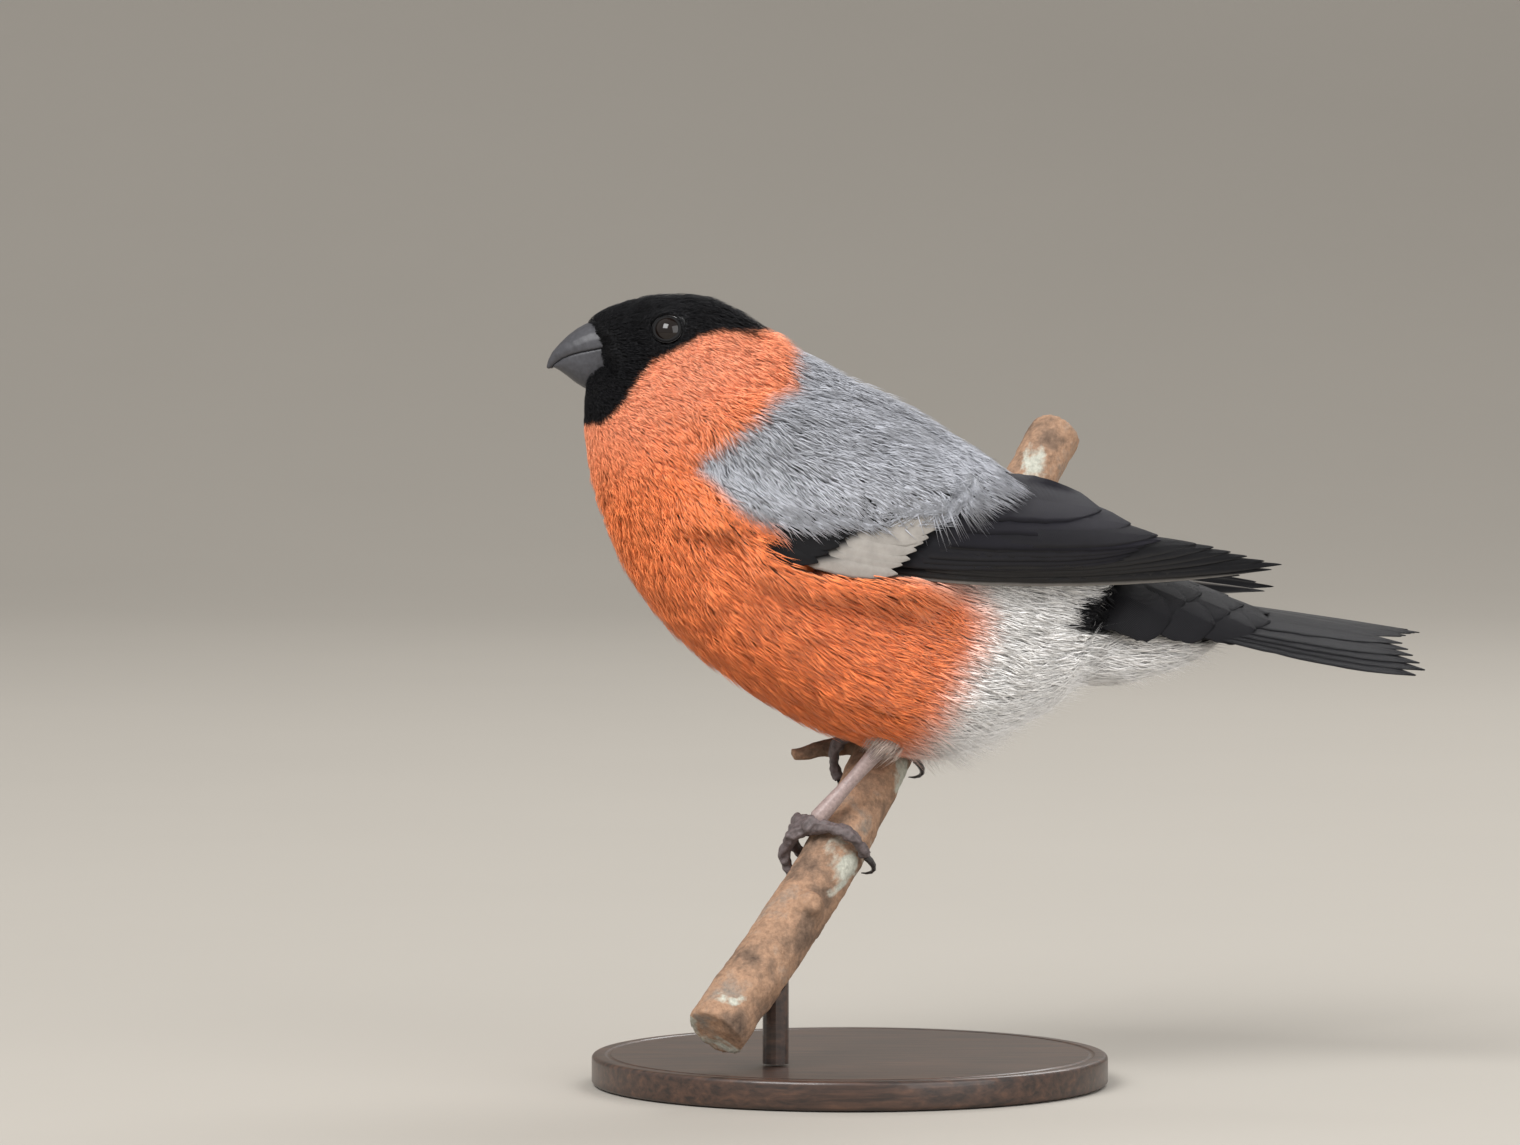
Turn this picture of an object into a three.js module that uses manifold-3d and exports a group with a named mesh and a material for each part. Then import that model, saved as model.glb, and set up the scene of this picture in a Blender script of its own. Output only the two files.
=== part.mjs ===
// A male bullfinch on a short cut length of branch, held by a plain display stand. Millimetres, +Z up.
// The bird faces -X, its left side looks towards -Y, and the stand rests on the plane z = 0.
import * as THREE from "three";
import { mergeVertices } from "three/addons/utils/BufferGeometryUtils.js";
import Module from "manifold-3d";

const wasm = await Module();
wasm.setup();

const v3 = (x, y, z) => new THREE.Vector3(x, y, z);
const { lerp, clamp, degToRad } = THREE.MathUtils;
const ACROSS = v3(0, 1, 0);
const UP = v3(0, 0, 1);

// Driving sizes
const GAP = 0.3; // free space that touching pieces keep
const WELD = 1e-3; // corners are rounded to this grid, so that close ones become one
const TAIL_SEED = 3; // no two feathers are quite alike
const WING_SEED = 10;
const FEET_HEIGHT = 39.3; // height of the perch's middle under the left foot
const EYE_RADIUS = 2.9;
const BILL_HALF_WIDTH = 4.7;
const BODY_HALF_WIDTH = 24.5;
const TAIL_LENGTH = 62;
const TAIL_ROLL = 17; // degrees, the tail's upper side leans towards the bird's left
const TARSUS_RADIUS = 1.15;
const TOE_RADIUS = 1.2;
const PERCH_RADIUS = 5.4;
const BASE_RADIUS = 44;
const BASE_THICKNESS = 5;
const ROD_RADIUS = 2.2;
const ROD_HEIGHT = -14; // where the rod meets the perch, below the left foot's place

// Colours of the finishes
const finish = (color, roughness, metalness = 0) =>
  new THREE.MeshStandardMaterial({ color, roughness, metalness });
const CAP_BLACK = finish(0x17171b, 0.55);
const BREAST_ORANGE = finish(0xee7a44, 0.85);
const MANTLE_GREY = finish(0x9a9ca1, 0.85);
const FEATHER_BLACK = finish(0x1f2026, 0.4);
const BILL_HORN = finish(0x46464a, 0.35);
const EYE_DARK = finish(0x0c0a09, 0.05);
const LEG_SKIN = finish(0x7a6a66, 0.6);
const CLAW_HORN = finish(0x2e2d2f, 0.3);
const BARK = finish(0xa8876c, 0.9);
const STAND_WOOD = finish(0x2b2421, 0.4);

// A closed geometry as a solid, with its faces turned outwards.
function solidOf(geometry) {
  const bare = geometry.index ? geometry.toNonIndexed() : geometry.clone();
  for (const name of Object.keys(bare.attributes)) {
    if (name !== "position") bare.deleteAttribute(name);
  }
  const merged = mergeVertices(bare, WELD / 10);
  const corners = new Uint32Array(merged.index.array);
  const build = () =>
    new wasm.Manifold(
      new wasm.Mesh({ numProp: 3, vertProperties: merged.attributes.position.array, triVerts: corners }),
    );
  const made = build();
  if (made.volume() >= 0) return made;
  for (let i = 0; i < corners.length; i += 3) {
    const second = corners[i + 1];
    corners[i + 1] = corners[i + 2];
    corners[i + 2] = second;
  }
  return build();
}

const join = (solids) => solids.reduce((all, next) => all.add(next));

// The largest closed surface of a solid: loose scraps are dropped.
function largest(solid) {
  const bodies = solid.decompose();
  return bodies.reduce((best, next) => (next.volume() > best.volume() ? next : best));
}

function geometryOf(solid) {
  const mesh = solid.getMesh();
  const step = mesh.numProp;
  const flat = new Float32Array(mesh.numVert * 3);
  for (let i = 0; i < mesh.numVert; i++)
    for (let axis = 0; axis < 3; axis++)
      flat[i * 3 + axis] = Math.round(mesh.vertProperties[i * step + axis] / WELD) * WELD;
  const geometry = new THREE.BufferGeometry();
  geometry.setAttribute("position", new THREE.BufferAttribute(flat, 3));
  geometry.setIndex(new THREE.BufferAttribute(mesh.triVerts, 1));
  geometry.computeVertexNormals();
  return geometry;
}

// A closed surface through rings of equally many points, with a flat cap at each end.
function loft(rings) {
  const sides = rings[0].length;
  const points = rings.flat();
  const corners = [];
  for (let r = 0; r + 1 < rings.length; r++)
    for (let k = 0; k < sides; k++) {
      const a = r * sides + k;
      const b = r * sides + ((k + 1) % sides);
      corners.push(a, b, b + sides, a, b + sides, a + sides);
    }
  const last = (rings.length - 1) * sides;
  for (let k = 1; k + 1 < sides; k++) corners.push(0, k + 1, k, last, last + k, last + k + 1);
  const geometry = new THREE.BufferGeometry().setFromPoints(points);
  geometry.setIndex(corners);
  return solidOf(geometry);
}

// A round tube along a path: radii gives the radius at each point.
function tube(path, radii, sides, side = UP) {
  const rings = path.map((point, i) => {
    const ahead = path[Math.min(i + 1, path.length - 1)].clone().sub(path[Math.max(i - 1, 0)]).normalize();
    const across = side.clone().cross(ahead).normalize();
    const over = ahead.clone().cross(across).normalize();
    return Array.from({ length: sides }, (_, k) => {
      const turn = (2 * Math.PI * k) / sides;
      return point
        .clone()
        .addScaledVector(across, radii[i] * Math.cos(turn))
        .addScaledVector(over, radii[i] * Math.sin(turn));
    });
  });
  return loft(rings);
}

const steps = (count, make) => Array.from({ length: count + 1 }, (_, i) => make(i / count));

// Body. Each station is a cut across the body: the point on the crown or back, the point on the
// throat or belly, and the half width as a share of BODY_HALF_WIDTH.
const STATIONS = [
  { back: [-45.8, 129.0], front: [-45.0, 117.6], wide: 0.11 }, // bill base
  { back: [-43.2, 131.4], front: [-45.2, 115.0], wide: 0.23 }, // lores
  { back: [-38.5, 133.4], front: [-45.4, 111.5], wide: 0.36 }, // forehead
  { back: [-31.5, 134.9], front: [-44.9, 106.5], wide: 0.475 }, // crown
  { back: [-22.0, 134.0], front: [-43.6, 99.5], wide: 0.56 }, // hind crown
  { back: [-12.0, 128.0], front: [-40.5, 91.5], wide: 0.69 }, // nape
  { back: [-3.0, 122.6], front: [-35.5, 82.5], wide: 0.85 }, // neck
  { back: [6.0, 118.0], front: [-27.0, 73.5], wide: 0.96 }, // shoulders
  { back: [15.5, 112.8], front: [-14.5, 64.5], wide: 1.0 }, // mantle
  { back: [26.0, 105.5], front: [1.0, 57.5], wide: 0.98 }, // back
  { back: [37.0, 97.0], front: [16.0, 55.0], wide: 0.86 }, // rump
  { back: [46.0, 91.0], front: [30.0, 61.5], wide: 0.62 }, // vent
  { back: [54.0, 88.0], front: [43.5, 69.0], wide: 0.4 }, // tail root
  { back: [61.0, 86.0], front: [56.0, 72.5], wide: 0.26 },
];
const NAPE_CUT = 4.6; // station where the head meets the neck
const NECK_CUT = 6.3; // station where the neck meets the torso
const TAIL_CUT = 11.35; // station where the torso meets the tail
const BODY_SIDES = 24;
const BODY_STEPS = 14;
const SLIM_ABOVE = 0.3; // how much slimmer the body is above its middle than below it

const curveOf = (points) => new THREE.CatmullRomCurve3(points, false, "centripetal");
const backLine = curveOf(STATIONS.map((s) => v3(s.back[0], 0, s.back[1])));
const frontLine = curveOf(STATIONS.map((s) => v3(s.front[0], 0, s.front[1])));
const widthLine = curveOf(STATIONS.map((s, i) => v3(s.wide * BODY_HALF_WIDTH, 0, 10 * i)));
const LAST = STATIONS.length - 1;

// One ring round the body at a station. grow makes it larger all round.
function bodyRing(station, grow = 0) {
  const back = backLine.getPoint(station / LAST);
  const front = frontLine.getPoint(station / LAST);
  const half = widthLine.getPoint(station / LAST).x;
  const middle = back.clone().add(front).multiplyScalar(0.5);
  const rise = back.clone().sub(front).multiplyScalar(0.5);
  const tall = rise.length();
  rise.normalize();
  const slim = SLIM_ABOVE * clamp((station - 3) / 4, 0, 1);
  return Array.from({ length: BODY_SIDES }, (_, k) => {
    const turn = (2 * Math.PI * k) / BODY_SIDES;
    const height = Math.cos(turn);
    const broad = (half * (1 - slim * height) + grow) * Math.sin(turn);
    return middle.clone().addScaledVector(rise, (tall + grow) * height).addScaledVector(ACROSS, broad);
  });
}

function bodyPart(from, to, count, grow = 0) {
  return loft(steps(count, (t) => bodyRing(lerp(from, to, t), grow)));
}

// Perch. Its middle line climbs towards the bird's right, under both feet and past its right flank.
const PERCH_LINE = [
  [-22.8, -30.4, 11.6], // sawn lower end
  [-8.2, -13.4, 31.5],
  [-3.1, -7, FEET_HEIGHT], // left foot
  [5.9, 7.0, 55.8], // right foot
  [16.0, 25.5, 73],
  [26.0, 43.0, 90],
  [37.0, 59.0, 109], // sawn upper end
];
const perchCurve = new THREE.CatmullRomCurve3(PERCH_LINE.map((at) => v3(...at)), false, "centripetal");
const PERCH_TAPER = 0.15; // share of its radius that the perch loses from its lower to its upper end
const PERCH_LOW_SHARE = 1.02; // its radius at the lower end, as a share of PERCH_RADIUS
const PERCH_WAVE = { height: 0.12, pace: 0.5 }; // slight swellings along it

// A point of the middle line at a height above the left foot's place.
function perchPoint(height) {
  let low = 0;
  let high = 1;
  for (let i = 0; i < 30; i++) {
    const middle = (low + high) / 2;
    if (perchCurve.getPoint(middle).z < FEET_HEIGHT + height) low = middle;
    else high = middle;
  }
  return perchCurve.getPoint(low);
}
const PERCH_LOW = PERCH_LINE[0][2] - FEET_HEIGHT;
const PERCH_HIGH = PERCH_LINE.at(-1)[2] - FEET_HEIGHT;

function perchRadius(height) {
  const share = (height - PERCH_LOW) / (PERCH_HIGH - PERCH_LOW);
  const even = PERCH_RADIUS * (PERCH_LOW_SHARE - PERCH_TAPER * share);
  return even + PERCH_WAVE.height * Math.sin(height * PERCH_WAVE.pace);
}

// The perch's own directions at a height: along it, away from its upper side, and forwards round it.
function perchFrame(height) {
  const along = perchPoint(height + 0.5).sub(perchPoint(height - 0.5)).normalize();
  const top = UP.clone().addScaledVector(along, -along.z).normalize();
  const forward = top.clone().cross(along).normalize();
  if (forward.x > 0) forward.negate();
  return { along, top, forward };
}

function roundPerch(height, angle, distance) {
  const { top, forward } = perchFrame(height);
  const turn = degToRad(angle);
  return perchPoint(height)
    .addScaledVector(top, distance * Math.cos(turn))
    .addScaledVector(forward, distance * Math.sin(turn));
}

const SNAG = { height: 19.5, tip: v3(-9.9, 8, 55.3), rootRadius: 2.5, tipRadius: 1.3 };
const KNOT = { height: -9, angle: -60, radius: 3.2, root: 2, reach: PERCH_RADIUS - 0.6 };
const PERCH_SIDES = 12;
const PERCH_STEPS = 20;
const STUB_SIDES = 8;

function perch(grow = 0) {
  const path = steps(PERCH_STEPS, (t) => perchCurve.getPoint(t));
  const radii = path.map((point) => perchRadius(point.z - FEET_HEIGHT) + grow);
  const stem = tube(path, radii, PERCH_SIDES);
  const snagPath = steps(5, (t) => perchPoint(SNAG.height).lerp(SNAG.tip, t));
  const snagRadii = steps(5, (t) => lerp(SNAG.rootRadius, SNAG.tipRadius, t) + grow);
  const snag = tube(snagPath, snagRadii, STUB_SIDES);
  const knotPath = steps(4, (t) => roundPerch(KNOT.height, KNOT.angle, KNOT.root + t * KNOT.reach));
  const domed = (t) => Math.sqrt(1.02 - t * t * 0.8);
  const knot = tube(knotPath, steps(4, (t) => KNOT.radius * domed(t) + grow), STUB_SIDES);
  return join([stem, snag, knot]);
}

// Feet. Each toe lies round the perch: how far it spreads along the perch, the angle of its tip
// round it in degrees, the number of its joints and the length of its claw.
const FEET = {
  left: { height: 0.4, heel: v3(5.6, -9.2, 58.5) },
  right: { height: 15.8, heel: v3(9.5, 6.5, 70) },
};
const TOES = [
  { name: "inner", spread: 3.4, to: 92, joints: 2, claw: 4.2 },
  { name: "middle", spread: 0.2, to: 112, joints: 3, claw: 4.8 },
  { name: "outer", spread: -3.6, to: 98, joints: 3, claw: 4.2 },
  { name: "hind", spread: 0, to: -88, joints: 2, claw: 6.6 },
];
const HUB_RADIUS = 1.75; // the hub is the sole that the toes spring from
const HUB_TOP = 1.7;
const HUB_HEIGHTS = [-1.6, -0.9, 0.6, HUB_TOP];
const HUB_RADII = [1.1, HUB_RADIUS, HUB_RADIUS, TARSUS_RADIUS + 0.1];
const ANKLE_ANGLE = 6; // degrees forwards of the perch's upper side
const TOE_STEPS = 8;
const TOE_SIDES = 6;
const TOE_TAPER = 0.18; // share of its radius that a toe loses towards its tip
const TOE_PADS = 0.13; // how far the pads at its joints swell it
const PERCH_CLEAR = 0.35;
const TOE_ARCH = 1.1; // how far a toe's middle stands off the perch
const CLAW = { root: 0.62, start: 4.2, wrap: 44, clear: 0.25, tip: 0.12, arch: 0.2, taper: 1.3 };
const TARSUS_WAIST = 0.16; // how much slimmer the shank is in the middle than at its ends

const ankleOf = (foot) =>
  roundPerch(foot.height, ANKLE_ANGLE, perchRadius(foot.height) + PERCH_CLEAR + HUB_RADIUS);
const spreadOf = (toe, side) => (side === "left" ? toe.spread : -toe.spread);

// Middle line of a toe at t, from its root under the ankle to its tip.
function toePoint(foot, toe, side, t, radius) {
  const height = foot.height + spreadOf(toe, side) * t;
  const arch = TOE_ARCH * Math.sin(Math.PI * t);
  return roundPerch(height, toe.to * t, perchRadius(height) + PERCH_CLEAR + radius + arch);
}

function toeRadius(toe, t) {
  const swell = Math.cos(2 * Math.PI * toe.joints * t);
  return TOE_RADIUS * (1 - TOE_TAPER * t) * (1 + TOE_PADS * swell);
}

function footSolid(side, grow = 0) {
  const foot = FEET[side];
  const ankle = ankleOf(foot);
  const shin = foot.heel.clone().sub(ankle).normalize();
  const hub = tube(
    HUB_HEIGHTS.map((d) => ankle.clone().addScaledVector(shin, d)),
    HUB_RADII.map((r) => r + grow),
    STUB_SIDES,
    ACROSS,
  );
  const toes = TOES.map((toe) => {
    const path = steps(TOE_STEPS, (t) => toePoint(foot, toe, side, t, toeRadius(toe, t)));
    return tube(path, steps(TOE_STEPS, (t) => toeRadius(toe, t) + grow), TOE_SIDES, ACROSS);
  });
  return join([hub, ...toes]);
}

// A claw springs from the toe's tip, stands off the perch and comes back to it.
function clawSolid(side, toe) {
  const foot = FEET[side];
  const way = Math.sign(toe.to);
  const height = foot.height + spreadOf(toe, side);
  const base = toeRadius(toe, 1) * CLAW.root;
  const bark = perchRadius(height) + PERCH_CLEAR;
  const startAngle = toe.to + way * CLAW.start;
  const span = way * (toe.claw / bark) * CLAW.wrap;
  const path = steps(6, (t) => {
    const arch = Math.sin(Math.PI * t) * toe.claw * CLAW.arch;
    const stand = lerp(base + CLAW.clear, CLAW.tip, t) + arch;
    return roundPerch(height, startAngle + span * t, bark + stand);
  });
  return tube(path, steps(6, (t) => lerp(base, CLAW.tip, t ** CLAW.taper)), TOE_SIDES, ACROSS);
}

function shankSolid(side, grow = 0) {
  const foot = FEET[side];
  const ankle = ankleOf(foot);
  const shin = foot.heel.clone().sub(ankle);
  const start = grow > 0 ? 0 : (HUB_TOP + GAP) / shin.length();
  const path = steps(8, (t) => ankle.clone().addScaledVector(shin, lerp(start, 1, t)));
  const girth = (t) => TARSUS_RADIUS * (1 + TARSUS_WAIST * Math.cos(2 * Math.PI * t)) + grow;
  return tube(path, steps(8, girth), 10, ACROSS);
}

// Bill. Each cut, from deep in the face to the tip: the ridge of the upper half, the cutting edge,
// the keel of the lower half, and the half width as a share of BILL_HALF_WIDTH.
const BILL_CUTS = [
  { ridge: [-39.5, 130.0], edge: [-38.8, 125.9], keel: [-38.4, 119.2], wide: 1.0 },
  { ridge: [-44.0, 129.6], edge: [-41.8, 125.4], keel: [-42.6, 118.0], wide: 1.0 },
  { ridge: [-46.6, 128.3], edge: [-44.4, 124.9], keel: [-45.4, 118.7], wide: 0.92 },
  { ridge: [-49.0, 126.2], edge: [-47.0, 124.3], keel: [-47.8, 120.5], wide: 0.74 },
  { ridge: [-50.8, 124.0], edge: [-49.2, 123.3], keel: [-49.8, 121.9], wide: 0.44 },
  { ridge: [-51.5, 121.9], edge: [-51.0, 121.7], keel: [-50.6, 122.2], wide: 0.08 },
];
const BILL_SIDES = 12;
const BILL_STEPS = 8;
const BILL_SHUT = 0.15; // each half keeps this far from the cutting edge
const KEEL_NARROW = 0.95; // the lower half's width beside the upper half's
const billRow = (key) => curveOf(BILL_CUTS.map((c) => v3(c[key][0], 0, c[key][1])));
const billWide = curveOf(BILL_CUTS.map((c, i) => v3(c.wide * BILL_HALF_WIDTH, 0, i)));

// One half of the bill: upper to the ridge, or lower to the keel, with a flat side at the cutting edge.
function billHalf(outer, narrow, grow = 0) {
  const outerRow = billRow(outer);
  const edgeRow = billRow("edge");
  const way = outer === "ridge" ? 1 : -1;
  const rings = steps(BILL_STEPS, (t) => {
    const edge = edgeRow.getPoint(t);
    edge.z += way * (BILL_SHUT - grow);
    const reach = outerRow.getPoint(t).sub(edge);
    const tall = Math.max(reach.length(), 0.25) + grow;
    reach.normalize();
    const half = billWide.getPoint(t).x * narrow + grow;
    return Array.from({ length: BILL_SIDES }, (_, k) => {
      const turn = Math.PI * (k / (BILL_SIDES - 1));
      const lift = Math.sin(turn) ** 0.8 * tall;
      return edge.clone().addScaledVector(reach, lift).addScaledVector(ACROSS, half * Math.cos(turn));
    });
  });
  if (grow > 0) rings.unshift(rings[0].map((point) => point.clone().add(v3(grow, 0, 0))));
  return loft(rings);
}

// Feathers. A field carries a flat sheet of (along, over) onto the body and lifts it outwards.
const SHAPES = {
  round: [0.5, 1, 0.86, 0.36],
  pointed: [0.5, 1, 0.62, 0.14],
};
const VANE_STEPS = [0, 0.5, 0.89, 1];
const TIP_THICKNESS = 0.55;

let chance = seededChance(TAIL_SEED);

// A small repeatable random number between -1 and 1.
function seededChance(seed) {
  let state = seed * 7919;
  return () => {
    state = (state * 16807) % 2147483647;
    return (2 * state) / 2147483647 - 1;
  };
}

// One vane as a closed sheet: root and tip on the field's sheet, a sideways bow, and the lift of
// its outer face. depth is its thickness at the root, where it reaches down into what carries it.
function vane(field, sizes, grow = 0) {
  const { root, tip, width, lift, depth = 0.9, bow = 0, shape = "round", tipLift = lift } = sizes;
  const run = [tip[0] - root[0], tip[1] - root[1]];
  const length = Math.hypot(...run);
  const way = [run[0] / length, run[1] / length];
  const over = [-way[1], way[0]];
  const reach = length + grow + 0.35 * chance();
  const stray = 0.06 * chance();
  const rings = VANE_STEPS.map((t, i) => {
    const along = lerp(-grow, reach, t);
    const aside = bow * Math.sin(Math.PI * t);
    const middle = [0, 1].map((axis) => root[axis] + way[axis] * along + over[axis] * aside);
    const half = (width / 2) * SHAPES[shape][i] + grow;
    const top = lerp(lift, tipLift, t) + stray + grow;
    const under = top - lerp(depth, TIP_THICKNESS, t ** 0.7) - 2 * grow;
    const at = (b, h) => field(middle[0] + over[0] * b, middle[1] + over[1] * b, h);
    return [at(-half, top), at(half, top), at(half, under), at(-half, under)];
  });
  return loft(rings);
}

const mix = (a, b, t) => [lerp(a[0], b[0], t), lerp(a[1], b[1], t)];

// A row of like vanes: roots, tips and every other size run evenly from the first vane to the last.
function rowOfVanes(field, row) {
  return Array.from({ length: row.count }, (_, i) => {
    const t = row.count > 1 ? i / (row.count - 1) : 0;
    return vane(field, {
      root: mix(row.roots[0], row.roots[1], t),
      tip: mix(row.tips[0], row.tips[1], t),
      width: lerp(row.width[0], row.width[1], t),
      lift: lerp(row.lift[0], row.lift[1], t),
      tipLift: lerp(row.tipLift?.[0] ?? row.lift[0], row.tipLift?.[1] ?? row.lift[1], t),
      depth: row.depth,
      bow: row.bow,
      shape: row.shape,
    });
  });
}

// The smooth form that the folded wings lie on, wider than the body behind it.
const SHELL = [
  { back: [-14, 127.0], front: [-40, 92.0], half: 19.5 },
  { back: [-3.0, 122.6], front: [-35.5, 82.5], half: 23.2 },
  { back: [15.5, 112.8], front: [-14.5, 64.5], half: 27.2 },
  { back: [29.0, 106.0], front: [6.0, 60.0], half: 26.8 },
  { back: [42.0, 101.5], front: [27.0, 66.0], half: 21.0 },
  { back: [56.0, 96.5], front: [46.0, 74.0], half: 13.5 },
  { back: [76.0, 92.5], front: [70.0, 82.0], half: 7.4 },
];
const shellBack = curveOf(SHELL.map((s) => v3(s.back[0], 0, s.back[1])));
const shellFront = curveOf(SHELL.map((s) => v3(s.front[0], 0, s.front[1])));
const shellHalf = curveOf(SHELL.map((s, i) => v3(s.half, 0, 10 * i)));

// Half width of the wings' form at a point of the side view.
function shellWidth(x, z) {
  let low = 0;
  let high = 1;
  let back = null;
  let front = null;
  for (let i = 0; i < 24; i++) {
    const middle = (low + high) / 2;
    back = shellBack.getPoint(middle);
    front = shellFront.getPoint(middle);
    const beyond = (x - front.x) * (back.z - front.z) - (z - front.z) * (back.x - front.x) > 0;
    if (beyond) low = middle;
    else high = middle;
  }
  const tall = back.distanceTo(front) / 2;
  const centre = back.clone().add(front).multiplyScalar(0.5);
  const rise = back.clone().sub(front).normalize();
  const height = v3(x, 0, z).sub(centre).dot(rise);
  const share = clamp(height / tall, -0.93, 0.93);
  return shellHalf.getPoint((low + high) / 2).x * Math.sqrt(1 - share * share);
}

const SHOULDER_POINT = [-13, 100];
const WING_DROOP = { left: 0, right: 3 }; // degrees

// The field of one wing: side is -1 for the left wing, and droop turns it down about the shoulder,
// in degrees.
function wingField(side, droop) {
  const turn = degToRad(droop);
  return (x, z, lift) => {
    const dx = x - SHOULDER_POINT[0];
    const dz = z - SHOULDER_POINT[1];
    const turned = [
      SHOULDER_POINT[0] + dx * Math.cos(turn) + dz * Math.sin(turn),
      SHOULDER_POINT[1] - dx * Math.sin(turn) + dz * Math.cos(turn),
    ];
    return v3(turned[0], side * (shellWidth(...turned) + lift), turned[1]);
  };
}

// Tiers of one folded wing on its sheet, from the lowest-lying to the topmost. Each row runs from
// its first vane to its last.
const WING_TIERS = [
  { // outer primaries, tips stepping up from the wing's point
    count: 5, roots: [[14, 89.6], [16, 92.5]], tips: [[72.8, 88.3], [55.0, 93.2]], width: [3.6, 5],
    lift: [-1.5, -0.3], bow: -0.8, shape: "pointed",
  },
  { // secondaries
    count: 4, roots: [[12, 91.5], [14, 96]], tips: [[47, 90.4], [51.5, 93.6]], width: [4.6, 5.6],
    lift: [-0.5, 0.3], bow: 0.3,
  },
  { // tertials
    count: 3, roots: [[12, 95.5], [15, 101]], tips: [[52.2, 93.4], [42.4, 98.2]], width: [6.4, 7.4],
    lift: [0.4, 1.1], tipLift: [0.1, 0.6], bow: 0.9,
  },
  { // greater coverts
    count: 6, roots: [[-12, 94.5], [3, 100]], tips: [[1, 89.4], [15.2, 97.6]], width: [5.2, 5.8],
    lift: [0.7, 1.3], bow: -0.6,
  },
  { // median coverts
    count: 4, roots: [[-18, 98.5], [-3, 103]], tips: [[-8, 94.2], [8, 99.6]], width: [5.8, 6.2],
    lift: [1.2, 1.7], bow: -0.4,
  },
];
// The scapulars lie over both the wing's root and the back, and don't droop with the wing.
const SCAPULAR_TIERS = [
  {
    count: 3, roots: [[6, 102], [15, 106.5]], tips: [[19, 98.7], [27, 102.6]], width: [6.4, 6.4],
    lift: [1.4, 1.1],
  },
  {
    count: 4, roots: [[-8, 101], [5, 111]], tips: [[7, 98], [18, 106.6]], width: [7, 6.6],
    lift: [1.9, 1.2],
  },
  {
    count: 4, roots: [[-22, 100], [-10, 114]], tips: [[-5, 98], [6, 110.6]], width: [8, 7],
    lift: [2.4, 1.3],
  },
];

// Two hidden sheets that the tiers are rooted in: one under the wing, one under the scapulars.
const WING_BED = { root: [-9, 96], tip: [49, 92.6], width: 9.5, lift: -0.2, depth: 3.4, bow: 1 };
const SCAPULAR_BED = {
  root: [-21, 105], tip: [27, 102], width: 10, lift: 0.6, depth: 3.2, bow: 1.4,
};

function wingSolid(side, droop) {
  const field = wingField(side, droop);
  const bed = vane(field, WING_BED);
  const backing = vane(wingField(side, 0), SCAPULAR_BED);
  const tiers = WING_TIERS.flatMap((row) => rowOfVanes(field, row));
  const scapulars = SCAPULAR_TIERS.flatMap((row) => rowOfVanes(wingField(side, 0), row));
  return join([bed, backing, ...tiers, ...scapulars]);
}

// Tail. Its sheet runs from the root along the tail, with the bird's right side positive.
const TAIL_ROOT = v3(36, 0, 84.2);
const TAIL_WAY = v3(0.987, 0, -0.16).normalize();
const tailAside = ACROSS.clone()
  .multiplyScalar(Math.cos(degToRad(TAIL_ROLL)))
  .addScaledVector(UP, Math.sin(degToRad(TAIL_ROLL)));
const tailUp = TAIL_WAY.clone().cross(tailAside).normalize();
const TAIL_CAMBER = 0.012;

function tailField(along, aside, lift) {
  return TAIL_ROOT.clone()
    .addScaledVector(TAIL_WAY, along)
    .addScaledVector(tailAside, aside)
    .addScaledVector(tailUp, lift - TAIL_CAMBER * aside * aside);
}

// Tail feathers of one side, from the middle outwards: how far their tips reach along the sheet,
// how far roots and tips lie from the middle, and how much lower each lies than the one before.
const RECTRICES = 6;
const RECTRIX = {
  root: 15, reach: [58.5, 63], outerReach: 60.5, rootAside: 0.5, tipAside: 1.5, tipStep: 1.62,
  width: 5.6, lift: 1.2, drop: 0.27, rightLower: 0.1,
};
const TAIL_BED = { root: [12, 0], tip: [40, 0], width: 11, lift: 0.3, depth: 2.2 };
// Plain sheets that stand for the whole tail where room is cut for it.
const TAIL_ROOM = { root: [12, 0], tip: [TAIL_LENGTH + 2, 0], width: 25, lift: 2.2, depth: 4.4 };
const COVERT_ROOM = { root: [6, 0], tip: [34, 0], width: 19, lift: 7, tipLift: 2.4, depth: 5 };
// Covert tiers over and under the tail's root: how far the tips reach, how many, and their sizes.
const TAIL_COVERTS = {
  above: [
    { reach: 32.5, start: 16, count: 3, width: 6.8, step: 3.9, lift: 1.9, tipLift: 1.5 },
    { reach: 26, start: 11, count: 4, width: 6.8, step: 3.6, lift: 4.2, tipLift: 2.5 },
  ],
  below: [
    { reach: 29.5, start: 14, count: 3, width: 6.0, step: 3.4, lift: -3.2, tipLift: -2.6 },
  ],
};

function tailCoverts({ reach, start, count, width, step, lift, tipLift }) {
  return Array.from({ length: count }, (_, i) => {
    const aside = (i - (count - 1) / 2) * step;
    const short = (Math.abs(aside) / step) * 1.4;
    const depth = lift > 0 ? 2 : -2;
    return vane(tailField, {
      root: [start, aside * 0.8], tip: [reach - short, aside], width, lift, tipLift, depth,
    });
  });
}

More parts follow.
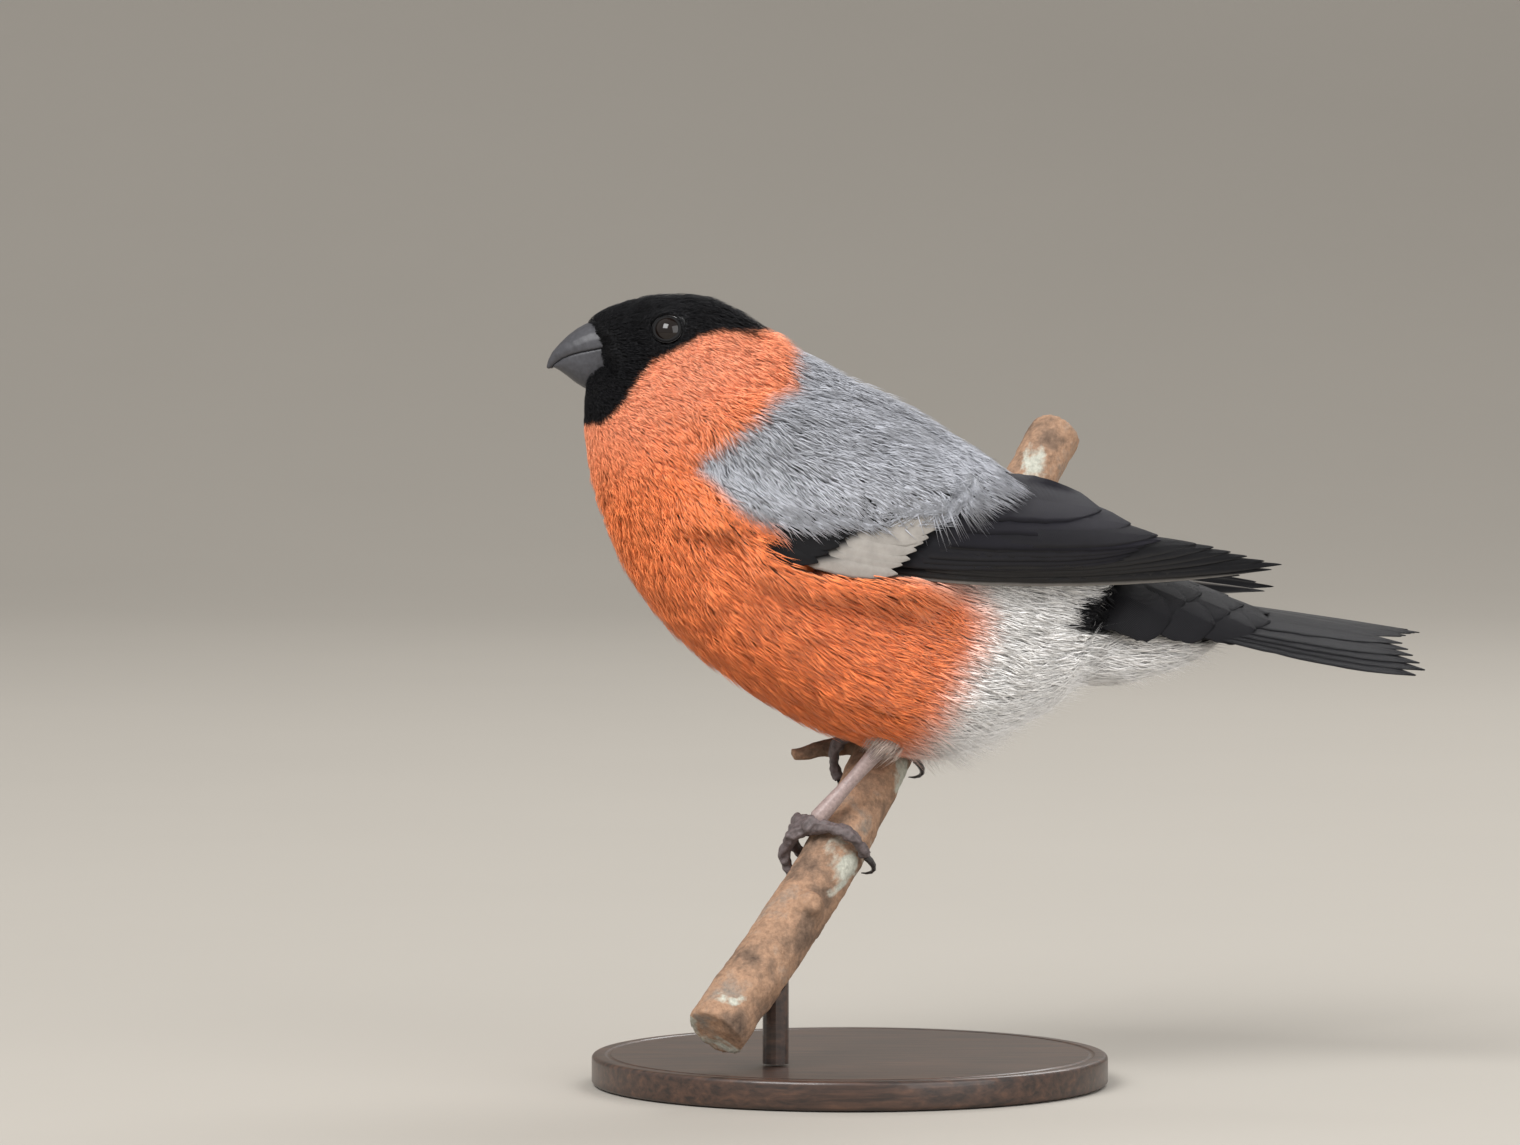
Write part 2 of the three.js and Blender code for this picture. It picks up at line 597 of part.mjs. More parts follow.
function tailSolid(grow = 0) {
  const root = loft([
    ...steps(5, (t) => bodyRing(lerp(TAIL_CUT + 0.06, LAST - 0.2, t), grow - 0.2)),
    bodyRing(LAST, grow - 4),
  ]);
  if (grow > 0) {
    return join([root, vane(tailField, TAIL_ROOM, grow), vane(tailField, COVERT_ROOM, grow)]);
  }
  const fan = [-1, 1].flatMap((side) =>
    Array.from({ length: RECTRICES }, (_, i) => {
      const outermost = i === RECTRICES - 1;
      const reach = outermost
        ? RECTRIX.outerReach
        : lerp(...RECTRIX.reach, i / (RECTRICES - 1));
      const lift = RECTRIX.lift - i * RECTRIX.drop - (side > 0 ? RECTRIX.rightLower : 0);
      const from = [RECTRIX.root, side * RECTRIX.rootAside * (i + 1)];
      const tip = [reach, side * (RECTRIX.tipAside + i * RECTRIX.tipStep)];
      return vane(tailField, { root: from, tip, width: RECTRIX.width, lift });
    }),
  );
  const bed = vane(tailField, TAIL_BED);
  const coverts = [...TAIL_COVERTS.above, ...TAIL_COVERTS.below].flatMap(tailCoverts);
  return join([root, bed, ...fan, ...coverts]);
}

// Head, with the bill and the eyes let into it.
const EYE = v3(-30.6, 8.3, 128.2);
const EYE_LOOK = v3(-0.2, 1, 0.3).normalize();
const LID_RADIUS = 2.72;
const LID_TUBE = 0.42;
const LID_OUT = 1.75; // how far the lid's ring stands out from the eye's middle

function eyeBall(side, grow = 0) {
  const ball = new THREE.SphereGeometry(EYE_RADIUS + grow, 14, 10);
  ball.rotateX(Math.PI / 2);
  ball.translate(EYE.x, side * EYE.y, EYE.z);
  return ball;
}

function eyelid(side) {
  const ring = new THREE.TorusGeometry(LID_RADIUS, LID_TUBE, 5, 16);
  const look = v3(EYE_LOOK.x, side * EYE_LOOK.y, EYE_LOOK.z);
  ring.applyQuaternion(new THREE.Quaternion().setFromUnitVectors(UP, look));
  ring.translate(
    EYE.x + look.x * LID_OUT,
    side * EYE.y + look.y * LID_OUT,
    EYE.z + look.z * LID_OUT,
  );
  return solidOf(ring);
}

function headSolid() {
  const skull = bodyPart(0, NAPE_CUT - 0.02, BODY_STEPS);
  const lids = [-1, 1].map(eyelid);
  const balls = [-1, 1].map((side) => solidOf(eyeBall(side, GAP)));
  const bill = [billHalf("ridge", 1, GAP), billHalf("keel", KEEL_NARROW, GAP)];
  const cutters = [...balls, ...bill];
  return cutters.reduce((head, cutter) => head.subtract(cutter), join([skull, ...lids]));
}

// Assembly
const FEATHER_GAP = GAP + 0.05; // wings and tail keep a little more space
const torsoBed = bodyPart(NECK_CUT + 0.03, TAIL_CUT, BODY_STEPS, FEATHER_GAP);
const neckBed = bodyPart(NAPE_CUT, NECK_CUT, 6, FEATHER_GAP);
const perchBed = perch(GAP);

const torso = ["left", "right"].reduce(
  (body, side) => body.subtract(footSolid(side, GAP)).subtract(shankSolid(side, GAP)),
  bodyPart(NECK_CUT + 0.03, TAIL_CUT, BODY_STEPS).subtract(perchBed),
);
const tailBed = tailSolid(GAP + 0.1);

const bird = new THREE.Group();
const stand = new THREE.Group();
const root = new THREE.Group();
root.add(bird, stand);

function add(group, name, solid, material) {
  const welded = solidOf(geometryOf(largest(solid)));
  const mesh = new THREE.Mesh(geometryOf(largest(welded)), material);
  mesh.name = name;
  group.add(mesh);
}

add(bird, "head", headSolid(), CAP_BLACK);
add(bird, "neck", bodyPart(NAPE_CUT + 0.02, NECK_CUT - 0.03, 6), BREAST_ORANGE);
add(bird, "torso", torso, BREAST_ORANGE);
add(bird, "bill_upper", billHalf("ridge", 1), BILL_HORN);
add(bird, "bill_lower", billHalf("keel", KEEL_NARROW), BILL_HORN);
add(bird, "tail", tailSolid().subtract(torsoBed), FEATHER_BLACK);

chance = seededChance(WING_SEED);
for (const [side, way] of [["left", -1], ["right", 1]]) {
  const eye = new THREE.Mesh(eyeBall(way), EYE_DARK);
  eye.name = "eye_" + side;
  bird.add(eye);
  const wing = wingSolid(way, WING_DROOP[side]).subtract(tailBed);
  add(bird, "wing_" + side, wing.subtract(torsoBed).subtract(neckBed), FEATHER_BLACK);
  add(bird, "leg_" + side, shankSolid(side), LEG_SKIN);
  add(bird, "foot_" + side, footSolid(side).subtract(perchBed), LEG_SKIN);
  for (const toe of TOES) {
    const claw = clawSolid(side, toe).subtract(perchBed);
    add(bird, "claw_" + side + "_" + toe.name, claw, CLAW_HORN);
  }
}

add(root, "perch", perch(), BARK);

// Stand: a flat base and one short rod up to the perch.
const rodFoot = perchPoint(ROD_HEIGHT);
const disc = new THREE.CylinderGeometry(BASE_RADIUS - 1, BASE_RADIUS, BASE_THICKNESS, 48);
const base = new THREE.Mesh(disc, STAND_WOOD);
base.name = "stand_base";
base.rotation.x = Math.PI / 2;
base.position.z = BASE_THICKNESS / 2;
stand.add(base);

const rod = new THREE.CylinderGeometry(ROD_RADIUS, ROD_RADIUS, rodFoot.z - BASE_THICKNESS - GAP, 16);
rod.rotateX(Math.PI / 2);
rod.translate(rodFoot.x, rodFoot.y, (rodFoot.z + BASE_THICKNESS + GAP) / 2);
add(stand, "stand_rod", solidOf(rod).subtract(perchBed), STAND_WOOD);

export default root;
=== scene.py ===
"""A male bullfinch on a cut branch: coat, feathers, horn, bark and stand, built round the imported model."""

import logging
import math
from collections.abc import Callable
from dataclasses import dataclass, field
from enum import Enum

import bpy
import numpy as np
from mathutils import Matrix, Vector
from mathutils.bvhtree import BVHTree
from mathutils.kdtree import KDTree


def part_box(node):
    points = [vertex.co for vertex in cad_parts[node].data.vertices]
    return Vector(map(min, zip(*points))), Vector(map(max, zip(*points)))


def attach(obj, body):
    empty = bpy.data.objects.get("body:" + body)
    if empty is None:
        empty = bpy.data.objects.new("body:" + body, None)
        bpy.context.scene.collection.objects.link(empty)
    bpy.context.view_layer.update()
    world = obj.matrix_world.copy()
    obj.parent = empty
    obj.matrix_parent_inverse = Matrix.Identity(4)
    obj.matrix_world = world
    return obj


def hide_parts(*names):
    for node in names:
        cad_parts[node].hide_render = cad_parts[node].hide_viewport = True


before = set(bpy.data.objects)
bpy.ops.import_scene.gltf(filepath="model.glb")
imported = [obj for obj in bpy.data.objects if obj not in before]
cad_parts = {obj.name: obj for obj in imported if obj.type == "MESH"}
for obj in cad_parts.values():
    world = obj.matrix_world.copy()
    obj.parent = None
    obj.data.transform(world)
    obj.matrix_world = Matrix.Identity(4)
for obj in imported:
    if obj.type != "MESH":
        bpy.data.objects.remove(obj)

LOG = logging.getLogger("bullfinch")
MM = 0.001
BODY = "root"
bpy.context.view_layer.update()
Array = np.ndarray
Triple = tuple[float, float, float]
Colour = Triple
Line = tuple[tuple[float, float], ...]


class Side(Enum):
    """The bird's two sides, with the sign of their Y."""

    LEFT = -1
    RIGHT = 1

    @property
    def word(self) -> str:
        """The side's name, as the nodes have it."""
        return self.name.lower()


class Region(Enum):
    """The pieces that the coat is split into."""

    FACE = "face"
    CROWN = "crown"
    NECK_LEFT = "neck_left"
    NECK_RIGHT = "neck_right"
    MANTLE_LEFT = "mantle_left"
    MANTLE_RIGHT = "mantle_right"
    BREAST = "breast"
    FLANK_LEFT = "flank_left"
    FLANK_RIGHT = "flank_right"
    VENT = "vent"


def srgb(red: float, green: float, blue: float) -> Colour:
    """Turns a screen colour of 0 to 255 into the linear one that shaders use."""
    return tuple(((c / 255 + 0.055) / 1.055) ** 2.4 if c > 10 else c / 3294.6 for c in (red, green, blue))


def unit(vectors: Array) -> Array:
    """Scales each row to length one."""
    return vectors / np.maximum(np.linalg.norm(vectors, axis=-1, keepdims=True), 1e-12)


def ramp(values: Array, low: float, high: float) -> Array:
    """A smooth step from 0 at low to 1 at high."""
    share = np.clip((values - low) / (high - low), 0, 1)
    return share * share * (3 - 2 * share)


def blend(low: Array, high: Array, share: Array) -> Array:
    """Mixes two values, all low at share 0 and all high at share 1."""
    return low * (1 - share) + high * share


def spline(points: Array, shares: Array) -> Array:
    """Points of a centripetal Catmull-Rom curve.

    Args:
        points: the curve's own points, one row each.
        shares: places along the curve, 0 to 1.

    Returns:
        One row for each share.
    """
    padded = np.vstack([2 * points[0] - points[1], points, 2 * points[-1] - points[-2]])
    spot = shares * (len(points) - 1)
    start = np.clip(np.floor(spot).astype(int), 0, len(points) - 2)
    t = (spot - start)[:, None]
    p0, p1, p2, p3 = (padded[start + i] for i in range(4))
    pairs = ((p0, p1), (p1, p2), (p2, p3))
    d0, d1, d2 = (np.sqrt(np.linalg.norm(b - a, axis=1))[:, None] for a, b in pairs)
    m1 = ((p1 - p0) / d0 - (p2 - p0) / (d0 + d1) + (p2 - p1) / d1) * d1
    m2 = ((p2 - p1) / d1 - (p3 - p1) / (d1 + d2) + (p3 - p2) / d2) * d1
    ends = p1 * (2 * t**3 - 3 * t**2 + 1) + p2 * (3 * t**2 - 2 * t**3)
    return ends + m1 * (t**3 - 2 * t**2 + t) + m2 * (t**3 - t**2)


def select_only(*objects: bpy.types.Object) -> None:
    """Selects objects and nothing else.

    Args:
        objects: what to select; the first becomes the active one.
    """
    bpy.ops.object.select_all(action="DESELECT")
    for item in objects:
        item.hide_set(False)
        item.select_set(True)
    bpy.context.view_layer.objects.active = objects[0]


def modify(obj: bpy.types.Object, kind: str, **settings: object) -> None:
    """Adds a modifier and applies it at once.

    Args:
        obj: the object to change.
        kind: the modifier's type.
        settings: the modifier's own options.
    """
    select_only(obj)
    modifier = obj.modifiers.new(kind.title(), kind)
    for name, value in settings.items():
        setattr(modifier, name, value)
    bpy.ops.object.modifier_apply(modifier=modifier.name)


def settle(obj: bpy.types.Object, name: str) -> bpy.types.Object:
    """Names a piece and puts its place, turn and size into its mesh.

    Args:
        obj: the piece.
        name: its name.

    Returns:
        The same piece.
    """
    obj.name = name
    obj.data.name = name
    select_only(obj)
    bpy.ops.object.transform_apply(location=True, rotation=True, scale=True)
    return obj


def copy_of(name: str, *nodes: str) -> bpy.types.Object:
    """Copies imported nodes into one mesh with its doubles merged.

    Args:
        name: the new piece's name.
        nodes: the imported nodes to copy.

    Returns:
        The new piece.
    """
    copies = []
    for node in nodes:
        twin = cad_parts[node].copy()
        twin.data = twin.data.copy()
        twin.parent = None
        bpy.context.scene.collection.objects.link(twin)
        copies.append(twin)
    select_only(*copies)
    if len(copies) > 1:
        bpy.ops.object.join()
    made = bpy.context.view_layer.objects.active
    made.data.materials.clear()
    bpy.ops.object.mode_set(mode="EDIT")
    bpy.ops.mesh.select_all(action="SELECT")
    bpy.ops.mesh.remove_doubles(threshold=1e-6)
    bpy.ops.object.mode_set(mode="OBJECT")
    return settle(made, name)


def smooth_copy(name: str, node: str, voxel: float, rounds: int) -> bpy.types.Object:
    """Makes a finer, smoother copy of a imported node.

    Args:
        name: the new piece's name.
        node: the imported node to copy.
        voxel: the size of its new faces in metres.
        rounds: how often it is smoothed.

    Returns:
        The new piece, shaded smooth.
    """
    piece = copy_of(name, node)
    modify(piece, "REMESH", mode="VOXEL", voxel_size=voxel)
    modify(piece, "SMOOTH", factor=0.5, iterations=rounds)
    select_only(piece)
    bpy.ops.object.shade_smooth()
    return piece


def points_of(obj: bpy.types.Object) -> Array:
    """Reads an object's corner points.

    Args:
        obj: a mesh object.

    Returns:
        Rows of x, y, z in metres.
    """
    flat = np.empty(len(obj.data.vertices) * 3)
    obj.data.vertices.foreach_get("co", flat)
    return flat.reshape(-1, 3)


def set_points(obj: bpy.types.Object, points: Array) -> None:
    """Moves an object's corner points."""
    obj.data.vertices.foreach_set("co", points.astype(np.float32).ravel())
    obj.data.update()


def normals_of(obj: bpy.types.Object) -> Array:
    """Reads the normal at each corner point.

    Args:
        obj: a mesh object.

    Returns:
        Rows of x, y, z, one long.
    """
    flat = np.empty(len(obj.data.vertices) * 3, dtype=np.float32)
    obj.data.vertex_normals.foreach_get("vector", flat)
    return flat.reshape(-1, 3).astype(float)


def set_tint(obj: bpy.types.Object, colours: Array) -> None:
    """Stores colours on an object as its attribute tint.

    Args:
        obj: the object.
        colours: one linear colour for each corner point.
    """
    layer = obj.data.attributes.new("tint", "FLOAT_COLOR", "POINT")
    rgba = np.ones((len(colours), 4), dtype=np.float32)
    rgba[:, :3] = colours
    layer.data.foreach_set("color", rgba.ravel())


def mesh_from(
    name: str, points: Array, corners: Array, tint: Array, maps: dict[str, Array]
) -> bpy.types.Object:
    """Makes an object from arrays.

    Args:
        name: the piece's name.
        points: corner points, one row each.
        corners: three point numbers for each triangle.
        tint: one linear colour for each point.
        maps: UV maps, each with one row for each point.

    Returns:
        The new object, shaded smooth.
    """
    mesh = bpy.data.meshes.new(name)
    mesh.vertices.add(len(points))
    mesh.vertices.foreach_set("co", points.astype(np.float32).ravel())
    mesh.loops.add(corners.size)
    mesh.loops.foreach_set("vertex_index", corners.astype(np.int32).ravel())
    mesh.polygons.add(len(corners))
    mesh.polygons.foreach_set("loop_start", np.arange(0, corners.size, 3, dtype=np.int32))
    mesh.polygons.foreach_set("use_smooth", np.ones(len(corners), dtype=bool))
    mesh.update(calc_edges=True)
    for title, rows in maps.items():
        layer = mesh.uv_layers.new(name=title)
        layer.data.foreach_set("uv", rows[corners.ravel()].astype(np.float32).ravel())
    obj = bpy.data.objects.new(name, mesh)
    bpy.context.scene.collection.objects.link(obj)
    set_tint(obj, tint)
    return obj


def show(obj: bpy.types.Object, material: bpy.types.Material, slot: str, *nodes: str) -> None:
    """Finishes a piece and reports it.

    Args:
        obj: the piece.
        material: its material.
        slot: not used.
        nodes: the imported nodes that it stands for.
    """
    obj.data.materials.clear()
    obj.data.materials.append(material)
    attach(obj, BODY)
    if nodes:
        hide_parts(*nodes)
    LOG.info("%s: %d faces", obj.name, len(obj.data.polygons))


# Colours of the plumage
ORANGE = np.array(srgb(250, 140, 78))
CHEEK_ORANGE = np.array(srgb(250, 158, 116))
ASH_GREY = np.array(srgb(172, 174, 181))
CAP_BLACK = np.array(srgb(15, 15, 18))
WHITE = np.array(srgb(240, 238, 236))
THIGH = np.array(srgb(214, 196, 186))
VANE_BLACK = np.array(srgb(13, 13, 16))
BAR_GREY = np.array(srgb(150, 145, 139))
BLUE_GLOSS = np.array([0.55, 0.45, 1.0]) * 0.007


class Graph:
    """A node tree in the making, with short names for its nodes."""

    def __init__(self, tree: bpy.types.NodeTree, material: bpy.types.Material | None = None) -> None:
        """Starts on a tree."""
        self.tree = tree
        self.material = material
        self.nodes: dict[str, bpy.types.Node] = {}

    def add(self, name: str, kind: str, **settings: object) -> bpy.types.Node:
        """Adds a node.

        Args:
            name: its short name.
            kind: its type.
            settings: its own options, its inputs by name, or by number as in_0 and in_1.

        Returns:
            The node.
        """
        node = self.tree.nodes.new(kind)
        for title, value in settings.items():
            if title in node.bl_rna.properties:
                setattr(node, title, value)
            elif title.startswith("in_"):
                node.inputs[int(title[3:])].default_value = value
            else:
                node.inputs[title.replace("_", " ")].default_value = value
        self.nodes[name] = node
        return node

    def link(self, *pairs: str) -> None:
        """Links sockets.

        Args:
            pairs: links written as "node.output > node.input", with a socket by name or number.
        """
        for pair in pairs:
            (source, given), (target, taken) = (end.split(".") for end in pair.split(" > "))
            start = self.nodes[source].outputs[int(given) if given.isdigit() else given]
            end = self.nodes[target].inputs[int(taken) if taken.isdigit() else taken]
            self.tree.links.new(start, end)

    def colour_ramp(self, name: str, *stops: tuple[float, Colour]) -> None:
        """Adds a colour ramp.

        Args:
            name: the node's short name.
            stops: places along the ramp, each with its linear colour.
        """
        bar = self.add(name, "ShaderNodeValToRGB").color_ramp.elements
        while len(bar) < len(stops):
            bar.new(0.5)
        for element, (spot, colour) in zip(bar, stops):
            element.position = spot
            element.color = (*colour, 1)


def mottle_group() -> bpy.types.NodeTree:
    """Builds the shared effect that varies a colour's brightness by noise.

    Returns:
        The node group, with the inputs Color, Scale and Strength and the outputs Color and Height.
    """
    group = bpy.data.node_groups.new("mottle", "ShaderNodeTree")
    for title, kind, way in (
        ("Color", "NodeSocketColor", "INPUT"), ("Scale", "NodeSocketFloat", "INPUT"),
        ("Strength", "NodeSocketFloat", "INPUT"), ("Color", "NodeSocketColor", "OUTPUT"),
        ("Height", "NodeSocketFloat", "OUTPUT"),
    ):
        group.interface.new_socket(title, in_out=way, socket_type=kind)
    graph = Graph(group)
    graph.add("given", "NodeGroupInput")
    graph.add("taken", "NodeGroupOutput")
    graph.add("place", "ShaderNodeTexCoord")
    graph.add("noise", "ShaderNodeTexNoise", Detail=6.0, Roughness=0.62)
    graph.add("spread", "ShaderNodeMapRange", From_Min=0.25, From_Max=0.75, To_Min=-1.0, To_Max=1.0)
    graph.add("amount", "ShaderNodeMath", operation="MULTIPLY")
    graph.add("factor", "ShaderNodeMath", operation="ADD", in_1=1.0)
    graph.add("scaled", "ShaderNodeVectorMath", operation="SCALE")
    graph.link(
        "place.Object > noise.Vector", "given.Scale > noise.Scale", "noise.Fac > spread.Value",
        "spread.Result > amount.0", "given.Strength > amount.1", "amount.0 > factor.0",
        "given.Color > scaled.0", "factor.0 > scaled.Scale", "scaled.0 > taken.Color",
        "noise.Fac > taken.Height",
    )
    return group


@dataclass(frozen=True)
class Finish:
    """A finish of one Principled shader, mottled by the shared effect.

    colour is linear, grain is the mottling's fineness, blotch is how far it varies the brightness,
    and relief is its height in metres, 0 for none.
    """

    name: str
    roughness: float
    colour: Colour = (0.5, 0.5, 0.5)
    grain: float = 900.0
    blotch: float = 0.3
    relief: float = 0.0
    sheen: float = 0.0
    coat: float = 0.0
    specular: float = 0.5

    def start(self, mottle: bpy.types.NodeTree) -> Graph:
        """Makes the material.

        Args:
            mottle: the shared effect.

        Returns:
            The material's graph, with its nodes shader and effect.
        """
        material = bpy.data.materials.new(self.name)
        material.use_nodes = True
        graph = Graph(material.node_tree, material)
        shader = material.node_tree.nodes["Principled BSDF"]
        graph.nodes["shader"] = shader
        for socket, value in (
            ("Roughness", self.roughness), ("Sheen Weight", self.sheen), ("Coat Weight", self.coat),
            ("Specular IOR Level", self.specular),
        ):
            shader.inputs[socket].default_value = value
        colour = (*self.colour, 1)
        graph.add(
            "effect", "ShaderNodeGroup", node_tree=mottle,
            Color=colour, Scale=self.grain, Strength=self.blotch,
        )
        graph.link("effect.Color > shader.Base Color")
        if self.relief:
            graph.add("bump", "ShaderNodeBump", Strength=0.8, Distance=self.relief)
            graph.link("effect.Height > bump.Height", "bump.Normal > shader.Normal")
        return graph


class Materials:
    """All finishes of the model, each built once."""

    def __init__(self) -> None:
        """Builds the shared effect and each material."""
        self.mottle = mottle_group()
        plume = Finish("soft_feather", 0.72, grain=700, blotch=0.14, sheen=0.25, specular=0.3)
        self.coat = self.tinted(plume)
        self.cap = self.tinted(Finish("cap_feather", 0.55, grain=700, blotch=0.2, specular=0.2))
        self.skin = self.tinted(Finish("under_down", 0.85, relief=0.0002, sheen=0.2, specular=0.2))
        self.vane = self.barbed(Finish("feather_vane", 0.58, grain=500, blotch=0.15, specular=0.2))
        self.bark = self.cracked(Finish("bark", 0.9, grain=1500, specular=0.2))
        self.stand = self.grained(Finish("stained_wood", 0.42, blotch=0.12, coat=0.25))
        self.horn, self.claw, self.leg, self.toe, self.eye, self.lid, self.lid_rim, self.floor = (
            finish.start(self.mottle).material
            for finish in (
                Finish("bill_horn", 0.46, srgb(64, 64, 68), grain=1400, relief=0.00005, specular=0.4),
                Finish("claw_horn", 0.3, srgb(52, 49, 49), grain=1800, relief=0.00003, coat=0.2),
                Finish("leg_scales", 0.5, srgb(148, 130, 126), grain=1600, relief=0.00008, coat=0.1),
                Finish("toe_scales", 0.6, srgb(92, 82, 82), grain=1300, blotch=0.5, relief=0.0002),
                Finish("wet_eye", 0.06, srgb(20, 13, 10), specular=0.4),
                Finish("eyelid", 0.7, srgb(13, 12, 13), grain=3000, relief=0.00004, specular=0.2),
                Finish("eyelid_rim", 0.5, srgb(104, 102, 103), grain=3000, relief=0.00004),
                Finish("pale_floor", 0.8, srgb(168, 163, 155), grain=3, blotch=0.02, specular=0.2),
            )
        )

    def tinted(self, finish: Finish) -> bpy.types.Material:
        """Makes a finish whose colour is the piece's own tint attribute.

        Args:
            finish: its plain numbers.

        Returns:
            The material.
        """
        graph = finish.start(self.mottle)
        graph.add("tint", "ShaderNodeAttribute", attribute_name="tint")
        graph.link("tint.Color > effect.Color")
        return graph.material

    def barbed(self, finish: Finish) -> bpy.types.Material:
        """Makes the vanes' finish: the tint, with fine barbs that slant from the shaft on the vane's own map.

        Args:
            finish: its plain numbers.

        Returns:
            The material.
        """
        graph = finish.start(self.mottle)
        graph.add("tint", "ShaderNodeAttribute", attribute_name="tint")
        graph.add("place", "ShaderNodeUVMap", uv_map="Vane")
        graph.add("parts", "ShaderNodeSeparateXYZ")
        graph.add("aside", "ShaderNodeMath", operation="ABSOLUTE")
        graph.add("slant", "ShaderNodeMath", operation="MULTIPLY", in_1=2.2)
        graph.add("reach", "ShaderNodeMath", operation="SUBTRACT")
        graph.add("waves", "ShaderNodeMath", operation="MULTIPLY", in_1=14.0)
        graph.add("height", "ShaderNodeMath", operation="SINE")
        graph.add("barbs", "ShaderNodeBump", Strength=0.5, Distance=0.00006)
        graph.link(
            "tint.Color > effect.Color", "place.UV > parts.0", "parts.X > aside.0", "aside.0 > slant.0",
            "parts.Y > reach.0", "slant.0 > reach.1", "reach.0 > waves.0", "waves.0 > height.0",
            "height.0 > barbs.Height", "barbs.Normal > shader.Normal",
        )
        return graph.material

    def cracked(self, finish: Finish) -> bpy.types.Material:
        """Makes tan bark with grey-brown mottling, dark cracks and pale green-grey lichen.

        Args:
            finish: its plain numbers.

        Returns:
            The material.
        """
        graph = finish.start(self.mottle)
        graph.add("place", "ShaderNodeTexCoord")
        graph.add("coarse", "ShaderNodeTexNoise", Scale=110.0, Detail=8.0, Roughness=0.65)
        graph.colour_ramp(
            "tone", (0.28, srgb(62, 52, 46)), (0.43, srgb(122, 100, 84)), (0.55, srgb(160, 128, 104)),
            (0.7, srgb(128, 120, 111)),
        )
        graph.add("shift", "ShaderNodeMapping", Location=(0.31, 0.12, 0.05))
        graph.add("patches", "ShaderNodeTexNoise", Scale=75.0, Detail=5.0, Roughness=0.55, Distortion=0.6)
        graph.add("lichen", "ShaderNodeMapRange", From_Min=0.6, From_Max=0.66)
        graph.add("mixed", "ShaderNodeMix", data_type="RGBA", B=(*srgb(176, 176, 164), 1))
        graph.add("cracks", "ShaderNodeBump", Strength=1.0, Distance=0.0009)
        graph.link(
            "place.Object > coarse.Vector", "place.Object > shift.Vector", "shift.Vector > patches.Vector",
            "coarse.Fac > tone.Fac", "patches.Fac > lichen.Value", "lichen.Result > mixed.Factor",
            "tone.Color > mixed.A", "mixed.Result > effect.Color", "coarse.Fac > cracks.Height",
            "cracks.Normal > shader.Normal",
        )
        return graph.material

    def grained(self, finish: Finish) -> bpy.types.Material:
        """Makes dark stained wood with fine straight grain under a satin coat.

        Args:
            finish: its plain numbers.

        Returns:
            The material.
        """
        graph = finish.start(self.mottle)
        graph.add("place", "ShaderNodeTexCoord")
        graph.add("stretch", "ShaderNodeMapping", Scale=(1.0, 14.0, 14.0))
        graph.add("grain", "ShaderNodeTexNoise", Scale=60.0, Detail=7.0, Roughness=0.6, Distortion=0.4)
        graph.colour_ramp("tone", (0.35, srgb(38, 27, 22)), (0.55, srgb(66, 46, 36)), (0.7, srgb(86, 60, 45)))
        graph.add("pores", "ShaderNodeBump", Strength=0.3, Distance=0.0001)
        graph.link(
            "place.Object > stretch.Vector", "stretch.Vector > grain.Vector", "grain.Fac > tone.Fac",
            "tone.Color > effect.Color", "grain.Fac > pores.Height", "pores.Normal > shader.Normal",
        )
        return graph.material


